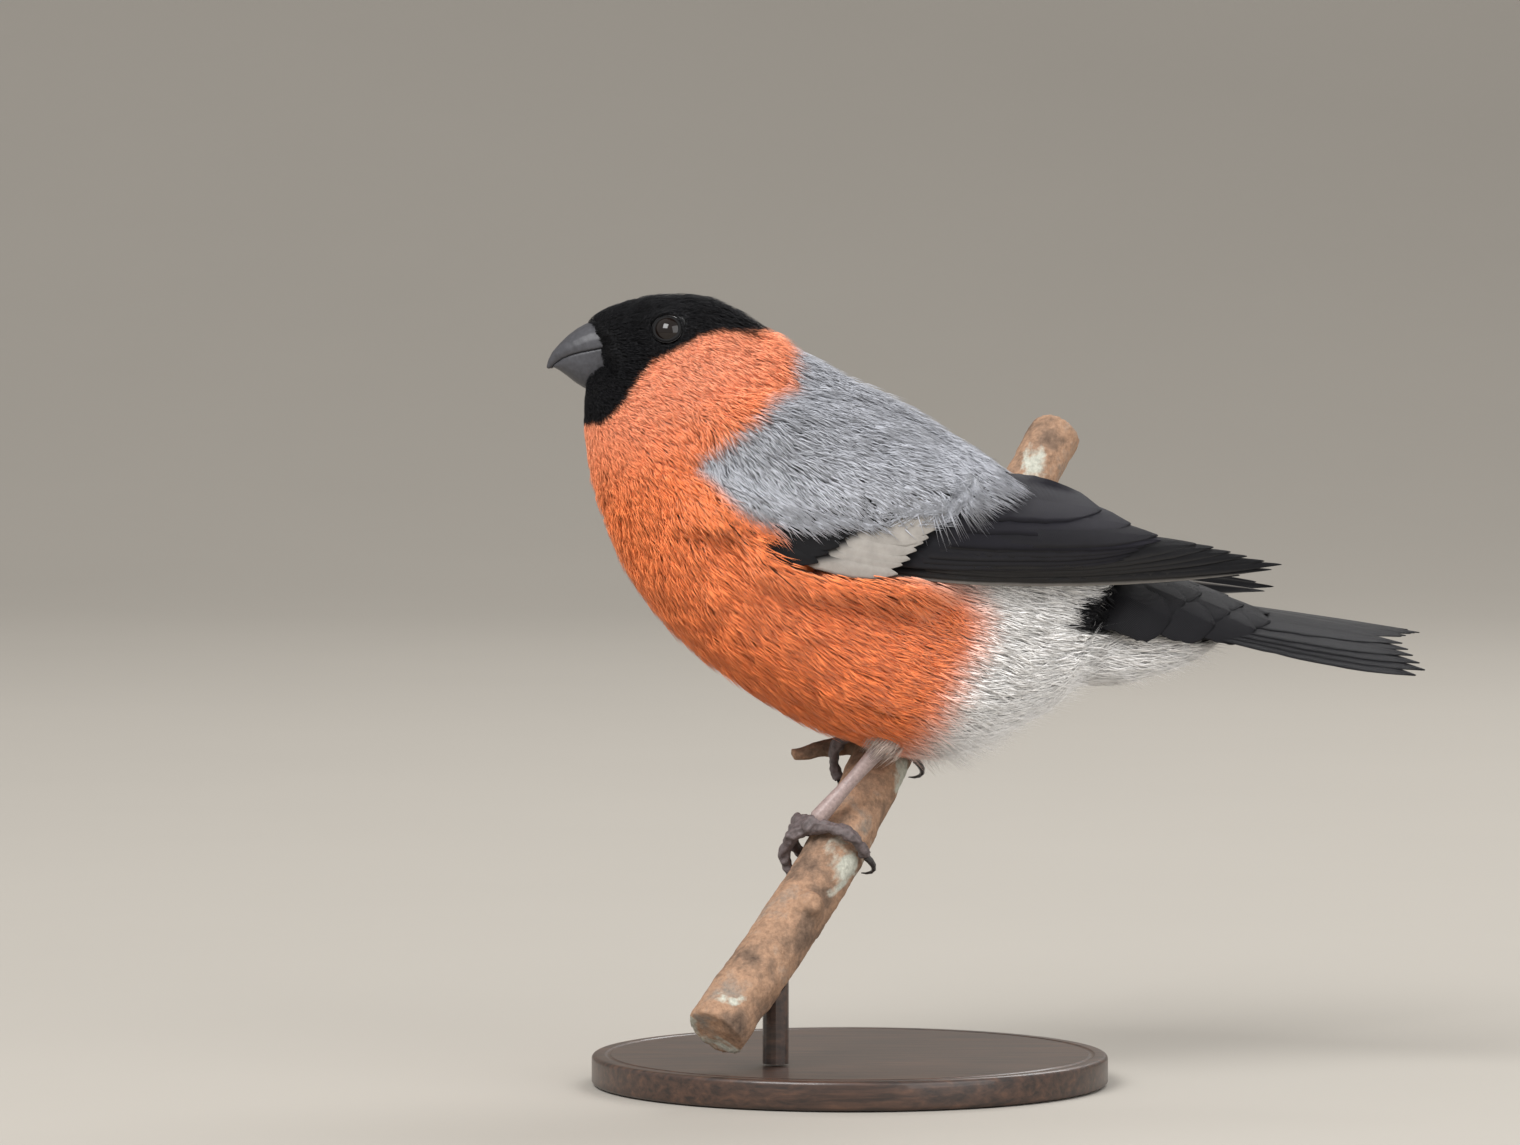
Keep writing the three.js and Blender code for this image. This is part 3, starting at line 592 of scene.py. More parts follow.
@dataclass
class Markings:
    """The plumage's pattern, from a few border lines in the side view, in millimetres of x and z."""

    cap_edge: Line = (
        (-8.5, 133.0), (-11.1, 127.6), (-16.2, 127.3), (-21.9, 128.2), (-25.4, 127.6), (-30.1, 125.0),
        (-33.3, 123.6), (-35.9, 120.4), (-37.9, 117.1), (-39.8, 114.6), (-41.6, 112.9), (-45.0, 112.4),
        (-50.0, 112.5),
    )
    mantle_edge: Line = (
        (-9.5, 133.0), (-10.7, 126.7), (-10.4, 117.5), (-13.8, 116.0), (-16.3, 112.9), (-20.7, 109.8),
        (-25.0, 107.2), (-25.6, 104.8), (-22.6, 102.7), (-19.7, 99.3), (-14.5, 96.5), (-6.0, 92.0),
        (4.0, 89.0), (60.0, 86.0),
    )
    flank_edge: Line = (
        (-6.0, 160.0), (-2.0, 93.0), (12.8, 88.0), (18.5, 84.5), (21.0, 80.0), (20.0, 76.0), (17.2, 71.0),
        (14.6, 65.0), (10.6, 59.5), (5.0, 55.0), (3.0, 48.0),
    )
    tail_edge: Line = (
        (75.0, 73.5), (59.5, 75.5), (54.4, 76.4), (39.0, 77.4), (35.0, 78.6), (38.3, 82.5), (44.0, 84.6),
        (50.0, 87.0), (56.0, 90.0), (75.0, 96.0),
    )
    bill_edge: Line = (
        (-46.5, 117.0), (-45.2, 118.7), (-42.3, 120.0), (-39.8, 120.6), (-39.5, 122.2), (-41.2, 125.0),
        (-41.0, 126.4), (-42.8, 127.8), (-45.4, 128.9), (-46.5, 130.5),
    )
    flank_fringe: Line = ((-18.5, 97.5), (-15.5, 91.5), (-9.0, 88.8), (0.0, 87.8), (9.0, 87.6))
    back_fringe: Line = (
        (-19.5, 97.5), (-11.0, 97.6), (-3.0, 98.6), (5.0, 98.2), (12.5, 97.2), (16.0, 99.4), (21.5, 101.6),
        (27.0, 104.5),
    )
    sharp: float = 0.5
    mantle_blur: float = 1.6
    flank_blur: tuple[float, float] = (-4.0, 4.5)
    rump: tuple[float, float] = (26.5, 31.5)
    cheek_slope: float = 0.4
    cheek: tuple[float, float] = (112, 132)
    wing_front: float = -18
    wing_inside: float = 12

    @staticmethod
    def beyond(edge: Line, x: Array, z: Array) -> Array:
        """Measures how far points lie from a border.

        Args:
            edge: the border.
            x: the points' x in millimetres.
            z: the points' z in millimetres.

        Returns:
            The distance in millimetres, positive on the border's left side as it runs.
        """
        best = np.full(x.shape, 1e9)
        sign = np.zeros(x.shape)
        for (ax, az), (bx, bz) in zip(edge[:-1], edge[1:]):
            dx, dz = bx - ax, bz - az
            length = math.hypot(dx, dz)
            t = np.clip(((x - ax) * dx + (z - az) * dz) / length**2, 0, 1)
            gap = np.hypot(x - ax - t * dx, z - az - t * dz)
            side = (dx * (z - az) - dz * (x - ax)) / length
            closer = (gap < best - 1e-9) | ((gap < best + 1e-9) & (np.abs(side) > np.abs(sign)))
            best = np.where(closer, gap, best)
            sign = np.where(closer, side, sign)
        return best * np.sign(sign)

    def colour(self, points: Array) -> Array:
        """Looks up the plumage's colour.

        Args:
            points: rows of x, y, z in metres.

        Returns:
            One linear colour for each point.
        """
        x, z = points[:, 0] / MM, points[:, 2] / MM
        cap = ramp(-self.beyond(self.cap_edge, x, z), -self.sharp, self.sharp)[:, None]
        tail = ramp(-self.beyond(self.tail_edge, x, z), -self.sharp, self.sharp)[:, None]
        mantle = ramp(self.beyond(self.mantle_edge, x, z), -self.mantle_blur, self.mantle_blur)[:, None]
        rear = ramp(self.beyond(self.flank_edge, x, z), *self.flank_blur)[:, None]
        cheek = ramp(z - self.cheek_slope * x, *self.cheek)[:, None]
        under = blend(blend(ORANGE, CHEEK_ORANGE, cheek), WHITE, rear)
        over = blend(ASH_GREY, WHITE, ramp(x, *self.rump)[:, None])
        return blend(blend(under, over, mantle), CAP_BLACK, np.maximum(cap, tail))

    def is_black(self, points: Array) -> Array:
        """Tells whether points in metres lie in the black of the cap, the bib or the tail's root."""
        x, z = points[:, 0] / MM, points[:, 2] / MM
        return (self.beyond(self.cap_edge, x, z) < 0) | (self.beyond(self.tail_edge, x, z) < 0)

    def in_bill(self, points: Array) -> Array:
        """Measures how far points (metres) lie in front of the feathers' edge on the bill (millimetres)."""
        return self.beyond(self.bill_edge, points[:, 0] / MM, points[:, 2] / MM)

    def under_wing(self, points: Array) -> Array:
        """Finds the skin that the wing's vanes hide.

        Args:
            points: rows of x, y, z in metres.

        Returns:
            Whether each point lies under the vanes, inside their fringes.
        """
        x, z = points[:, 0] / MM, points[:, 2] / MM
        inside = (self.beyond(self.back_fringe, x, z) < -1.0) & (self.beyond(self.flank_fringe, x, z) > 0.5)
        return inside & (x > self.wing_front) & (np.abs(points[:, 1]) / MM > self.wing_inside)

    def fringe(self, points: Array) -> Array:
        """Finds the coat that reaches out over the wing's edges.

        Args:
            points: rows of x, y, z in metres.

        Returns:
            How strongly each point's coat reaches out, 0 to 1.
        """
        x, z = points[:, 0] / MM, points[:, 2] / MM
        below = -self.beyond(self.flank_fringe, x, z)
        above = self.beyond(self.back_fringe, x, z)
        lower = ramp(below, -3.0, 0.0) * ramp(-below, -5.0, -1.0)
        upper = ramp(above, -2.5, 0.0) * ramp(-above, -13.0, -4.0)
        return np.maximum(lower, upper)


@dataclass
class BodyLine:
    """The middle line through the bird, from bill to tail, in millimetres of x and z."""

    stops: Line = (
        (-47, 123.5), (-40, 122), (-32, 118.5), (-24, 110), (-12, 98), (4, 88), (22, 80), (40, 79), (66, 78),
    )
    softness: float = 7 * MM
    fineness: int = 240
    batch: int = 20000
    table: Array = field(init=False)
    ways: Array = field(init=False)

    def __post_init__(self) -> None:
        """Works out a fine table of the line and its direction."""
        self.table = spline(np.array(self.stops, dtype=float), np.linspace(0, 1, self.fineness)) * MM
        self.ways = unit(np.gradient(self.table, axis=0))

    def place(self, points: Array) -> tuple[Array, Array, Array]:
        """Finds where points lie along and round the line.

        Args:
            points: rows of x, y, z in metres.

        Returns:
            The share along the line, the angle round it from the back, and the line's direction there.
        """
        nearest = np.empty(len(points), dtype=int)
        way = np.empty((len(points), 2))
        for start in range(0, len(points), self.batch):
            rows = slice(start, start + self.batch)
            gaps = ((points[rows][:, None, [0, 2]] - self.table[None]) ** 2).sum(axis=2)
            nearest[rows] = gaps.argmin(axis=1)
            weights = np.exp(-(gaps - gaps.min(axis=1, keepdims=True)) / (2 * self.softness**2))
            way[rows] = unit(weights @ self.ways)
        reach = points[:, [0, 2]] - self.table[nearest]
        rise = -way[:, 1] * reach[:, 0] + way[:, 0] * reach[:, 1]
        angle = np.arctan2(points[:, 1], rise)
        direction = np.column_stack([way[:, 0], np.zeros(len(points)), way[:, 1]])
        return nearest / (len(self.table) - 1), angle, direction


@dataclass
class WingShell:
    """The smooth form under the folded wings: back, front and half width of each cut, in millimetres."""

    backs: Line = (
        (-14, 127.0), (-3.0, 122.6), (15.5, 112.8), (29.0, 106.0), (42.0, 101.5), (56.0, 96.5), (76.0, 92.5),
    )
    fronts: Line = (
        (-40, 92.0), (-35.5, 82.5), (-14.5, 64.5), (6.0, 60.0), (27.0, 66.0), (46.0, 74.0), (70.0, 82.0),
    )
    halves: tuple[float, ...] = (19.5, 23.2, 27.2, 26.8, 21.0, 13.5, 7.4)
    cut_step: float = 10.0
    fineness: int = 200
    rim: float = 0.93
    shoulder: tuple[float, float] = (-13, 100)
    right_droop: float = 3.0

    def __post_init__(self) -> None:
        """Works out fine tables of the form's cuts."""
        shares = np.linspace(0, 1, self.fineness)
        self.back = spline(np.array(self.backs, dtype=float), shares)
        self.front = spline(np.array(self.fronts, dtype=float), shares)
        steps = np.arange(len(self.halves)) * self.cut_step
        self.half = spline(np.column_stack([self.halves, steps]), shares)[:, 0]

    def width(self, x: Array, z: Array) -> Array:
        """Finds the form's half width.

        Args:
            x: the points' x in the side view, in millimetres.
            z: the points' z, in millimetres.

        Returns:
            The half width at each point, in millimetres.
        """
        over = self.back - self.front
        side = (x[:, None] - self.front[:, 0]) * over[:, 1] - (z[:, None] - self.front[:, 1]) * over[:, 0]
        spot = np.clip((side > 0).sum(axis=1), 1, len(self.half) - 1)
        rows = np.arange(len(x))
        before, after = side[rows, spot - 1], side[rows, spot]
        t = np.clip(before / np.where(np.abs(before - after) < 1e-12, 1, before - after), 0, 1)
        back = blend(self.back[spot - 1], self.back[spot], t[:, None])
        front = blend(self.front[spot - 1], self.front[spot], t[:, None])
        rise = (back - front) / 2
        offset = np.column_stack([x, z]) - (back + front) / 2
        share = np.clip((offset * rise).sum(axis=1) / (rise**2).sum(axis=1), -self.rim, self.rim)
        return blend(self.half[spot - 1], self.half[spot], t) * np.sqrt(1 - share**2)

    def lay(self, side: Side, along: Array, over: Array, lift: Array, droops: bool = True) -> Array:
        """Carries points of the wing's flat sheet onto the form.

        Args:
            side: which wing.
            along: x in the side view, in millimetres.
            over: z in the side view, in millimetres.
            lift: distance outwards from the form, in millimetres.
            droops: whether the right wing's droop turns them down.

        Returns:
            Points in metres.
        """
        turn = math.radians(self.right_droop) if side is Side.RIGHT and droops else 0.0
        dx, dz = along - self.shoulder[0], over - self.shoulder[1]
        x = self.shoulder[0] + dx * math.cos(turn) + dz * math.sin(turn)
        z = self.shoulder[1] - dx * math.sin(turn) + dz * math.cos(turn)
        return np.column_stack([x, side.value * (self.width(x, z) + lift), z]) * MM


class Tip(Enum):
    """Outlines of a vane: half width at even steps from root to tip, as shares of the full half width."""

    ROUND = (0.35, 0.72, 0.9, 0.98, 1.0, 1.0, 0.97, 0.9, 0.76, 0.5, 0.12)
    POINTED = (0.35, 0.8, 0.96, 1.0, 0.99, 0.96, 0.9, 0.8, 0.65, 0.43, 0.1)
    SCALE = (0.4, 0.7, 0.88, 0.97, 1.0, 1.0, 0.98, 0.93, 0.83, 0.6, 0.15)


@dataclass(frozen=True)
class VaneRow:
    """A row of like vanes on a sheet, in millimetres, each pair running from its first vane to its last.

    lift and tip_lift are heights over the sheet, sunk is how far the roots dip, pale_tip and pale_rim are
    how much of the tip and the rims is grey, and gloss is the strength of the blue sheen.
    """

    count: int
    roots: Line
    tips: Line
    width: tuple[float, float]
    lift: tuple[float, float]
    tip_lift: tuple[float, float] | None = None
    bow: float = 0.0
    tip: Tip = Tip.ROUND
    pale_tip: float = 0.0
    pale_rim: float = 0.0
    gloss: float = 0.0
    sunk: float = 2.6
    tint: Colour = tuple(VANE_BLACK)

    def ends(self, share: float) -> tuple[Array, Array]:
        """The root and the tip of the vane at a share of the row."""
        return tuple(blend(np.array(pair[0]), np.array(pair[1]), share) for pair in (self.roots, self.tips))


@dataclass
class Plumes:
    """Collects vanes into one mesh. Sizes are in millimetres."""

    seed: int
    across: int = 8
    along: int = 22
    thick: float = 0.11
    shaft_height: float = 0.13
    shaft_width: float = 0.13
    crown: float = 0.22
    trail: float = 0.02
    tip_stray: float = 0.12
    stray: float = 0.03
    ragged: float = 0.02
    tone_stray: float = 0.05
    sunk_from: float = 1.0
    sunk_to: float = 7.0
    under_shade: float = 0.8

    def __post_init__(self) -> None:
        """Starts an empty collection with its own random numbers."""
        self.random = np.random.default_rng(self.seed)
        self.points: list[Array] = []
        self.corners: list[Array] = []
        self.tints: list[Array] = []
        self.maps: list[Array] = []
        self.count = 0

    def faces(self) -> tuple[Array, Array]:
        """Numbers the corners of one vane's faces.

        Returns:
            The upper sheet's triangles, and those of the whole closed vane.
        """
        wide, rows = self.across + 1, self.along + 1
        size = wide * rows
        grid = np.arange(size).reshape(rows, wide)
        a, b, c, d = (
            part.ravel() for part in (grid[:-1, :-1], grid[:-1, 1:], grid[1:, 1:], grid[1:, :-1])
        )
        top = np.concatenate([np.column_stack([a, b, c]), np.column_stack([a, c, d])])
        loop = np.concatenate([grid[0, :-1], grid[:-1, -1], grid[-1, :0:-1], grid[:0:-1, 0]])
        after = np.roll(loop, -1)
        outer = np.column_stack([loop, loop + size, after + size])
        inner = np.column_stack([loop, after + size, after])
        return top, np.concatenate([top, top[:, ::-1] + size, outer, inner])

    def add(self, lay: Callable[..., Array], row: VaneRow, share: float) -> None:
        """Adds the vane at a share of a row.

        Args:
            lay: carries (along, over, lift) onto the sheet, in metres.
            row: the row's sizes.
            share: 0 for the row's first vane, 1 for its last.
        """
        root, tip = row.ends(share)
        tip = tip + self.random.normal(0, self.tip_stray, 2)
        length = float(np.linalg.norm(tip - root))
        way = (tip - root) / length
        t = np.linspace(0, 1, self.along + 1)[:, None] ** 0.85
        b = np.linspace(-1, 1, self.across + 1)[None]
        even = np.ones_like(t * b)
        outline = np.interp(t, np.linspace(0, 1, len(row.tip.value)), row.tip.value)
        ragged = 1 + self.random.normal(0, self.ragged, (len(t), 2)) * (t > 0.3)
        half = blend(*row.width, share) / 2
        aside = half * outline * b * np.where(b < 0, ragged[:, :1], ragged[:, 1:])
        aside = aside + row.bow * np.sin(np.pi * t)
        run = t * length - self.trail * length * b**2 * (1 - outline)
        x = root[0] + way[0] * run - way[1] * aside
        z = root[1] + way[1] * run + way[0] * aside
        low = blend(*row.lift, share)
        high = blend(*row.tip_lift, share) if row.tip_lift else low
        shaft = self.shaft_height * np.exp(-((b / self.shaft_width) ** 2)) * (1 - 0.6 * t)
        sunk = row.sunk * (1 - ramp(t * length, self.sunk_from, self.sunk_to))
        lift = blend(low, high, t) + self.random.normal(0, self.stray) + shaft
        lift = lift - self.crown * b**2 * outline - sunk
        upper = lay(x.ravel(), z.ravel(), lift.ravel())
        lower = lay(x.ravel(), z.ravel(), (lift - shaft - self.thick).ravel())
        points = np.concatenate([upper, lower])
        top, faces = self.faces()
        normal = np.cross(points[top[:, 1]] - points[top[:, 0]], points[top[:, 2]] - points[top[:, 0]])
        outwards = points[top].mean(axis=1) - points[top + len(upper)].mean(axis=1)
        if (normal * outwards).sum() < 0:
            faces = faces[:, ::-1]
        colour = self.paint(row, t * even, b * even)
        flat = np.column_stack([(b * half * even).ravel(), (t * length * even).ravel()])
        self.points.append(points)
        self.corners.append(faces + self.count)
        self.tints.append(np.concatenate([colour, colour * self.under_shade]))
        self.maps.append(np.concatenate([flat, flat + [0.05, 0]]))
        self.count += len(points)

    def paint(self, row: VaneRow, t: Array, b: Array) -> Array:
        """Colours one vane.

        Args:
            row: the row's sizes.
            t: each point's share from root to tip.
            b: its place across, -1 to 1.

        Returns:
            One linear colour for each point.
        """
        rim = ramp(np.abs(b), 0.62, 0.98) * row.pale_rim
        start = 1 - row.pale_tip + self.random.normal(0, self.tone_stray)
        end = ramp(t - 0.2 * b, start - 0.05, start + 0.12) if row.pale_tip else 0.0
        pale = np.clip(rim + end, 0, 1).ravel()[:, None]
        base = np.array(row.tint) * (1 + self.random.normal(0, self.tone_stray))
        gloss = BLUE_GLOSS * row.gloss * (0.4 + 0.6 * t).ravel()[:, None]
        return blend(base + gloss, BAR_GREY, pale)

    def add_row(self, lay: Callable[..., Array], row: VaneRow) -> None:
        """Adds every vane of a row."""
        for i in range(row.count):
            self.add(lay, row, i / max(row.count - 1, 1))

    def build(self, name: str) -> bpy.types.Object:
        """Joins all the vanes into one object, with each vane in a cell of its own on the bake map.

        Args:
            name: the piece's name.

        Returns:
            The new object.
        """
        cells = math.ceil(math.sqrt(len(self.maps)))
        bake = []
        for i, flat in enumerate(self.maps):
            spot = (flat - flat.min(axis=0)) / np.ptp(flat, axis=0).max() * 0.9 + 0.05
            bake.append((spot + [i % cells, i // cells]) / cells)
        points, corners, tints = (np.concatenate(rows) for rows in (self.points, self.corners, self.tints))
        maps = {"OFBake": np.concatenate(bake), "Vane": np.concatenate(self.maps)}
        return mesh_from(name, points, corners, tints, maps)


@dataclass
class Wing:
    """One folded wing: its rows of vanes from the lowest-lying to the topmost."""

    side: Side
    shell: WingShell
    rows: tuple[VaneRow, ...] = (
        VaneRow(
            1, ((3, 89.4),) * 2, ((71.5, 88.0),) * 2, (4.0, 4.0), (-1.7, -1.7), bow=-1.0, tip=Tip.POINTED,
            pale_rim=0.75,
        ),
        VaneRow(
            6, ((3, 90.2), (9, 93.0)), ((73.0, 88.8), (58.5, 92.6)), (4.6, 6.2), (-1.4, -0.5), bow=-0.9,
            tip=Tip.POINTED, pale_rim=0.07,
        ),
        VaneRow(
            6, ((3, 91.2), (10, 96)), ((46, 90.0), (52, 93.8)), (4.6, 5.8), (-0.6, 0.2), bow=0.3,
            pale_rim=0.03, gloss=0.5,
        ),
        VaneRow(
            3, ((10, 95.5), (13, 101)), ((52.4, 93.2), (42.4, 98.4)), (6.6, 7.6), (0.3, 1.0), (0.0, 0.5),
            bow=0.9, gloss=1.0,
        ),
        VaneRow(
            9, ((-12, 93.4), (2, 100.5)), ((7.6, 88.4), (16.2, 98.2)), (4.2, 5.2), (0.6, 1.2), bow=-0.6,
            pale_tip=0.62,
        ),
        VaneRow(
            7, ((-20, 97.0), (-6, 102)), ((-5.5, 90.2), (4.5, 98.8)), (5.0, 5.6), (1.0, 1.5), bow=-0.4,
        ),
    )
    seed: int = 11

    def lay(self, along: Array, over: Array, lift: Array) -> Array:
        """Carries points of the flat sheet onto this wing."""
        return self.shell.lay(self.side, along, over, lift)

    def build(self, materials: Materials) -> None:
        """Makes the wing's vanes.

        Args:
            materials: the model's finishes.
        """
        plumes = Plumes(self.seed + self.side.value)
        for row in self.rows:
            plumes.add_row(self.lay, row)
        wing = plumes.build(f"flight_feathers_{self.side.word}")
        show(wing, materials.vane, "wing_feathers", f"wing_{self.side.word}")


@dataclass
class Tail:
    """The tail's feathers and coverts on a sheet that is rolled towards the bird's left, in millimetres.

    over_rows has reach, length and count of each row of upper coverts. under_rows has reach, start and
    count of each row below, and its heights at root and tip.
    """

    root: Triple = (36, 0, 84.2)
    run: float = 0.987
    slope: float = -0.16
    roll: float = 21.0
    camber: float = 0.012
    wrap: float = 0.06
    pairs: int = 6
    reach: float = 58.5
    reach_step: float = 0.9
    outer_reach: float = 60.5
    over_rows: tuple[tuple[float, float, int], ...] = ((37, 18, 4), (31, 16, 5), (24.5, 14, 6))
    under_rows: tuple[tuple[float, ...], ...] = ((29.5, 8, 5, -5.0, -2.4), (24, 4, 5, -7.2, -4.6))
    seeds: tuple[int, int] = (29, 31)

    def lay(self, along: Array, aside: Array, lift: Array) -> Array:
        """Carries points of the tail's flat sheet into place, in metres.

        Args:
            along: distance from the root, in millimetres.
            aside: distance towards the bird's right, in millimetres.
            lift: height over the sheet, in millimetres.

        Returns:
            Points in metres.
        """
        way = unit(np.array([self.run, 0, self.slope]))
        turn = math.radians(self.roll)
        across = np.array([0, math.cos(turn), math.sin(turn)])
        up = unit(np.cross(way, across))
        height = lift - self.camber * aside**2
        place = along[:, None] * way + aside[:, None] * across + height[:, None] * up
        return (np.array(self.root) + place) * MM

    def lay_round(self, along: Array, aside: Array, lift: Array) -> Array:
        """Carries points onto the rounder sheet of the upper coverts, in metres."""
        return self.lay(along, aside, lift - (self.wrap - self.camber) * aside**2)

    def fan(self, materials: Materials) -> None:
        """Makes the twelve tail feathers, from the middle pair outwards.

        Args:
            materials: the model's finishes.
        """
        plumes = Plumes(self.seeds[0])
        for side in (-1, 1):
            for i in range(self.pairs):
                reach = self.outer_reach if i == self.pairs - 1 else self.reach + self.reach_step * i
                lift = 1.0 - i * 0.19 - (0.1 if side > 0 else 0)
                root = ((12, side * 0.6 * (i + 1)),) * 2
                tip = ((reach, side * (1.5 + 1.62 * i)),) * 2
                plumes.add_row(self.lay, VaneRow(1, root, tip, (5.8, 5.8), (lift, lift), gloss=0.15))
        show(plumes.build("tail_feathers"), materials.vane, "tail_feathers", "tail")

    def coverts(self, materials: Materials) -> None:
        """Makes the rows of coverts over and under the tail's root.

        Args:
            materials: the model's finishes.
        """
        plumes = Plumes(self.seeds[1])
        for layer, (reach, length, count) in enumerate(self.over_rows):
            for i in range(count):
                aside = 3.2 * (i - (count - 1) / 2)
                end = reach - 0.8 * abs(aside)
                lift, drop = (
                    top - 0.222 * (spot - 14) + 0.12 * layer
                    for top, spot in ((6.0, end - length), (6.2, end))
                )
                root, tip = ((end - length, aside * 0.85),) * 2, ((end, aside * 1.02),) * 2
                row = VaneRow(1, root, tip, (8.2, 8.2), (lift, lift), (drop, drop), tip=Tip.SCALE, gloss=0.2)
                plumes.add_row(self.lay_round, row)
        for reach, start, count, lift, drop in self.under_rows:
            for i in range(count):
                aside = 2.3 * (i - (count - 1) / 2)
                root, tip = ((start, aside * 0.7),) * 2, ((reach - abs(aside), aside * 0.8),) * 2
                row = VaneRow(
                    1, root, tip, (6.0, 6.0), (lift, lift), (drop, drop), tip=Tip.SCALE, tint=tuple(WHITE),
                )
                plumes.add_row(self.lay, row)
        show(plumes.build("tail_coverts"), materials.vane, "tail_feathers")

    def build(self, materials: Materials) -> None:
        """Makes the whole tail."""
        self.fan(materials)
        self.coverts(materials)


@dataclass
class Skin:
    """The one skin under the coat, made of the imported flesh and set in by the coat's depth.

    Each core has a middle, half sizes and a tilt in degrees. The pad has its centre's x and z, half
    length, half height, tilt in degrees and lift. Places and these sizes are in millimetres.
    """

    voxel: float = 0.75 * MM
    joint_gap: float = 0.25 * MM
    full_depth: float = 2.1 * MM
    face_depth: float = 0.5 * MM
    depth_grows: tuple[float, float] = (6, 34)
    bill_base: Triple = (-46.0, 0, 123.0)
    eye: Triple = (-30.9, 10.0, 128.6)
    eye_look: Triple = (-0.2, 1, 0.3)
    brow: float = 0.9
    brow_reach: tuple[float, float] = (2.4, 6.5)
    brow_depth: float = 4
    bill_pinch: tuple[float, float] = (0.5, 0.25)
    cores: tuple[tuple, ...] = (
        ((44, 0, 75.0), (22, 8.6, 7.4), -9),
        ((-42.0, 0, 123.9), (5.2, 4.2, 4.6), 0),
    )
    pad_spec: tuple[float, ...] = (-2, 107.0, 25, 10.0, -16, 1.2)
    pad_root: float = 3.4
    shade: float = 0.75

    def from_eye(self, points: Array) -> Array:
        """Measures how far points in metres are from the nearer eye, in millimetres."""
        near = np.column_stack([points[:, 0], np.abs(points[:, 1]), points[:, 2]])
        return np.linalg.norm(near / MM - np.array(self.eye), axis=1)

    def from_bill(self, points: Array) -> Array:
        """Measures how far points in metres are from the bill's base, in millimetres."""
        return np.linalg.norm(points / MM - np.array(self.bill_base), axis=1)

    def depth(self, points: Array) -> Array:
        """Finds how far the coat stands over the skin.

        Args:
            points: rows of x, y, z in metres.

        Returns:
            The depth at each point in metres.
        """
        deep = blend(self.face_depth, self.full_depth, ramp(self.from_bill(points), *self.depth_grows))
        at_eye = self.face_depth * 0.7 + 0.12 * MM * np.maximum(self.from_eye(points) - 2.5, 0)
        return np.minimum(deep, at_eye)

    def core(self, middle: Triple, radii: Triple, tilt: float) -> bpy.types.Object:
        """Makes an egg of flesh that fills the skin from inside.

        Args:
            middle: its centre in millimetres.
            radii: its half sizes in millimetres.
            tilt: its turn about Y in degrees.

        Returns:
            The egg.
        """
        bpy.ops.mesh.primitive_uv_sphere_add(segments=32, ring_count=20, radius=1, location=(0, 0, 0))
        egg = bpy.context.object
        bpy.ops.object.mode_set(mode="EDIT")
        bpy.ops.mesh.select_all(action="SELECT")
        bpy.ops.transform.resize(value=tuple(radius * MM for radius in radii))
        bpy.ops.object.mode_set(mode="OBJECT")
        egg.rotation_euler = (0, math.radians(tilt), 0)
        egg.location = tuple(spot * MM for spot in middle)
        return settle(egg, "core")

    def pad(self, shell: WingShell, side: Side) -> bpy.types.Object:
        """Makes a soft swelling over the wing's root, laid on the wing's form.

        Args:
            shell: the wing's form.
            side: which wing.

        Returns:
            The pad as a closed lens.
        """
        bpy.ops.mesh.primitive_uv_sphere_add(segments=32, ring_count=16, radius=1, location=(0, 0, 0))
        pad = bpy.context.object
        points = points_of(pad)
        cx, cz, long, tall, tilt, lift = self.pad_spec
        turn = math.radians(tilt)
        flat_x, flat_z = points[:, 0] * long, points[:, 1] * tall
        x = cx + flat_x * math.cos(turn) - flat_z * math.sin(turn)
        z = cz + flat_x * math.sin(turn) + flat_z * math.cos(turn)
        dome = np.maximum(points[:, 2], 0) ** 0.8
        out = (lift + self.pad_root) * dome + 3 * np.minimum(points[:, 2], 0) - self.pad_root
        set_points(pad, shell.lay(side, x, z, out, droops=False))
        return settle(pad, "pad")

    def seat_bill(self, body: bpy.types.Object, markings: Markings) -> None:
        """Draws the skin in where the bill's own horn shows, and swells it round the eyes.

        Args:
            body: the skin.
            markings: the plumage's borders.
        """
        shape = points_of(body)
        inside = ramp(markings.in_bill(shape), -1.4, 1.6) * (1 - ramp(shape[:, 2] / MM, 127.4, 129.4))
        middle = self.bill_base[2] * MM
        shape[:, 1] *= 1 - self.bill_pinch[0] * inside
        shape[:, 2] = middle + (shape[:, 2] - middle) * (1 - self.bill_pinch[1] * inside)
        for side in Side:
            across = np.array([1, side.value, 1])
            look = unit(np.array(self.eye_look) * across)
            reach = shape - np.array(self.eye) * across * MM
            out = reach @ look
            aside = np.linalg.norm(reach - np.outer(out, look), axis=1) / MM
            swell = (1 - ramp(aside, *self.brow_reach)) * (np.abs(out) < self.brow_depth * MM)
            shape += np.outer(swell, look) * self.brow * MM
        set_points(body, shape)

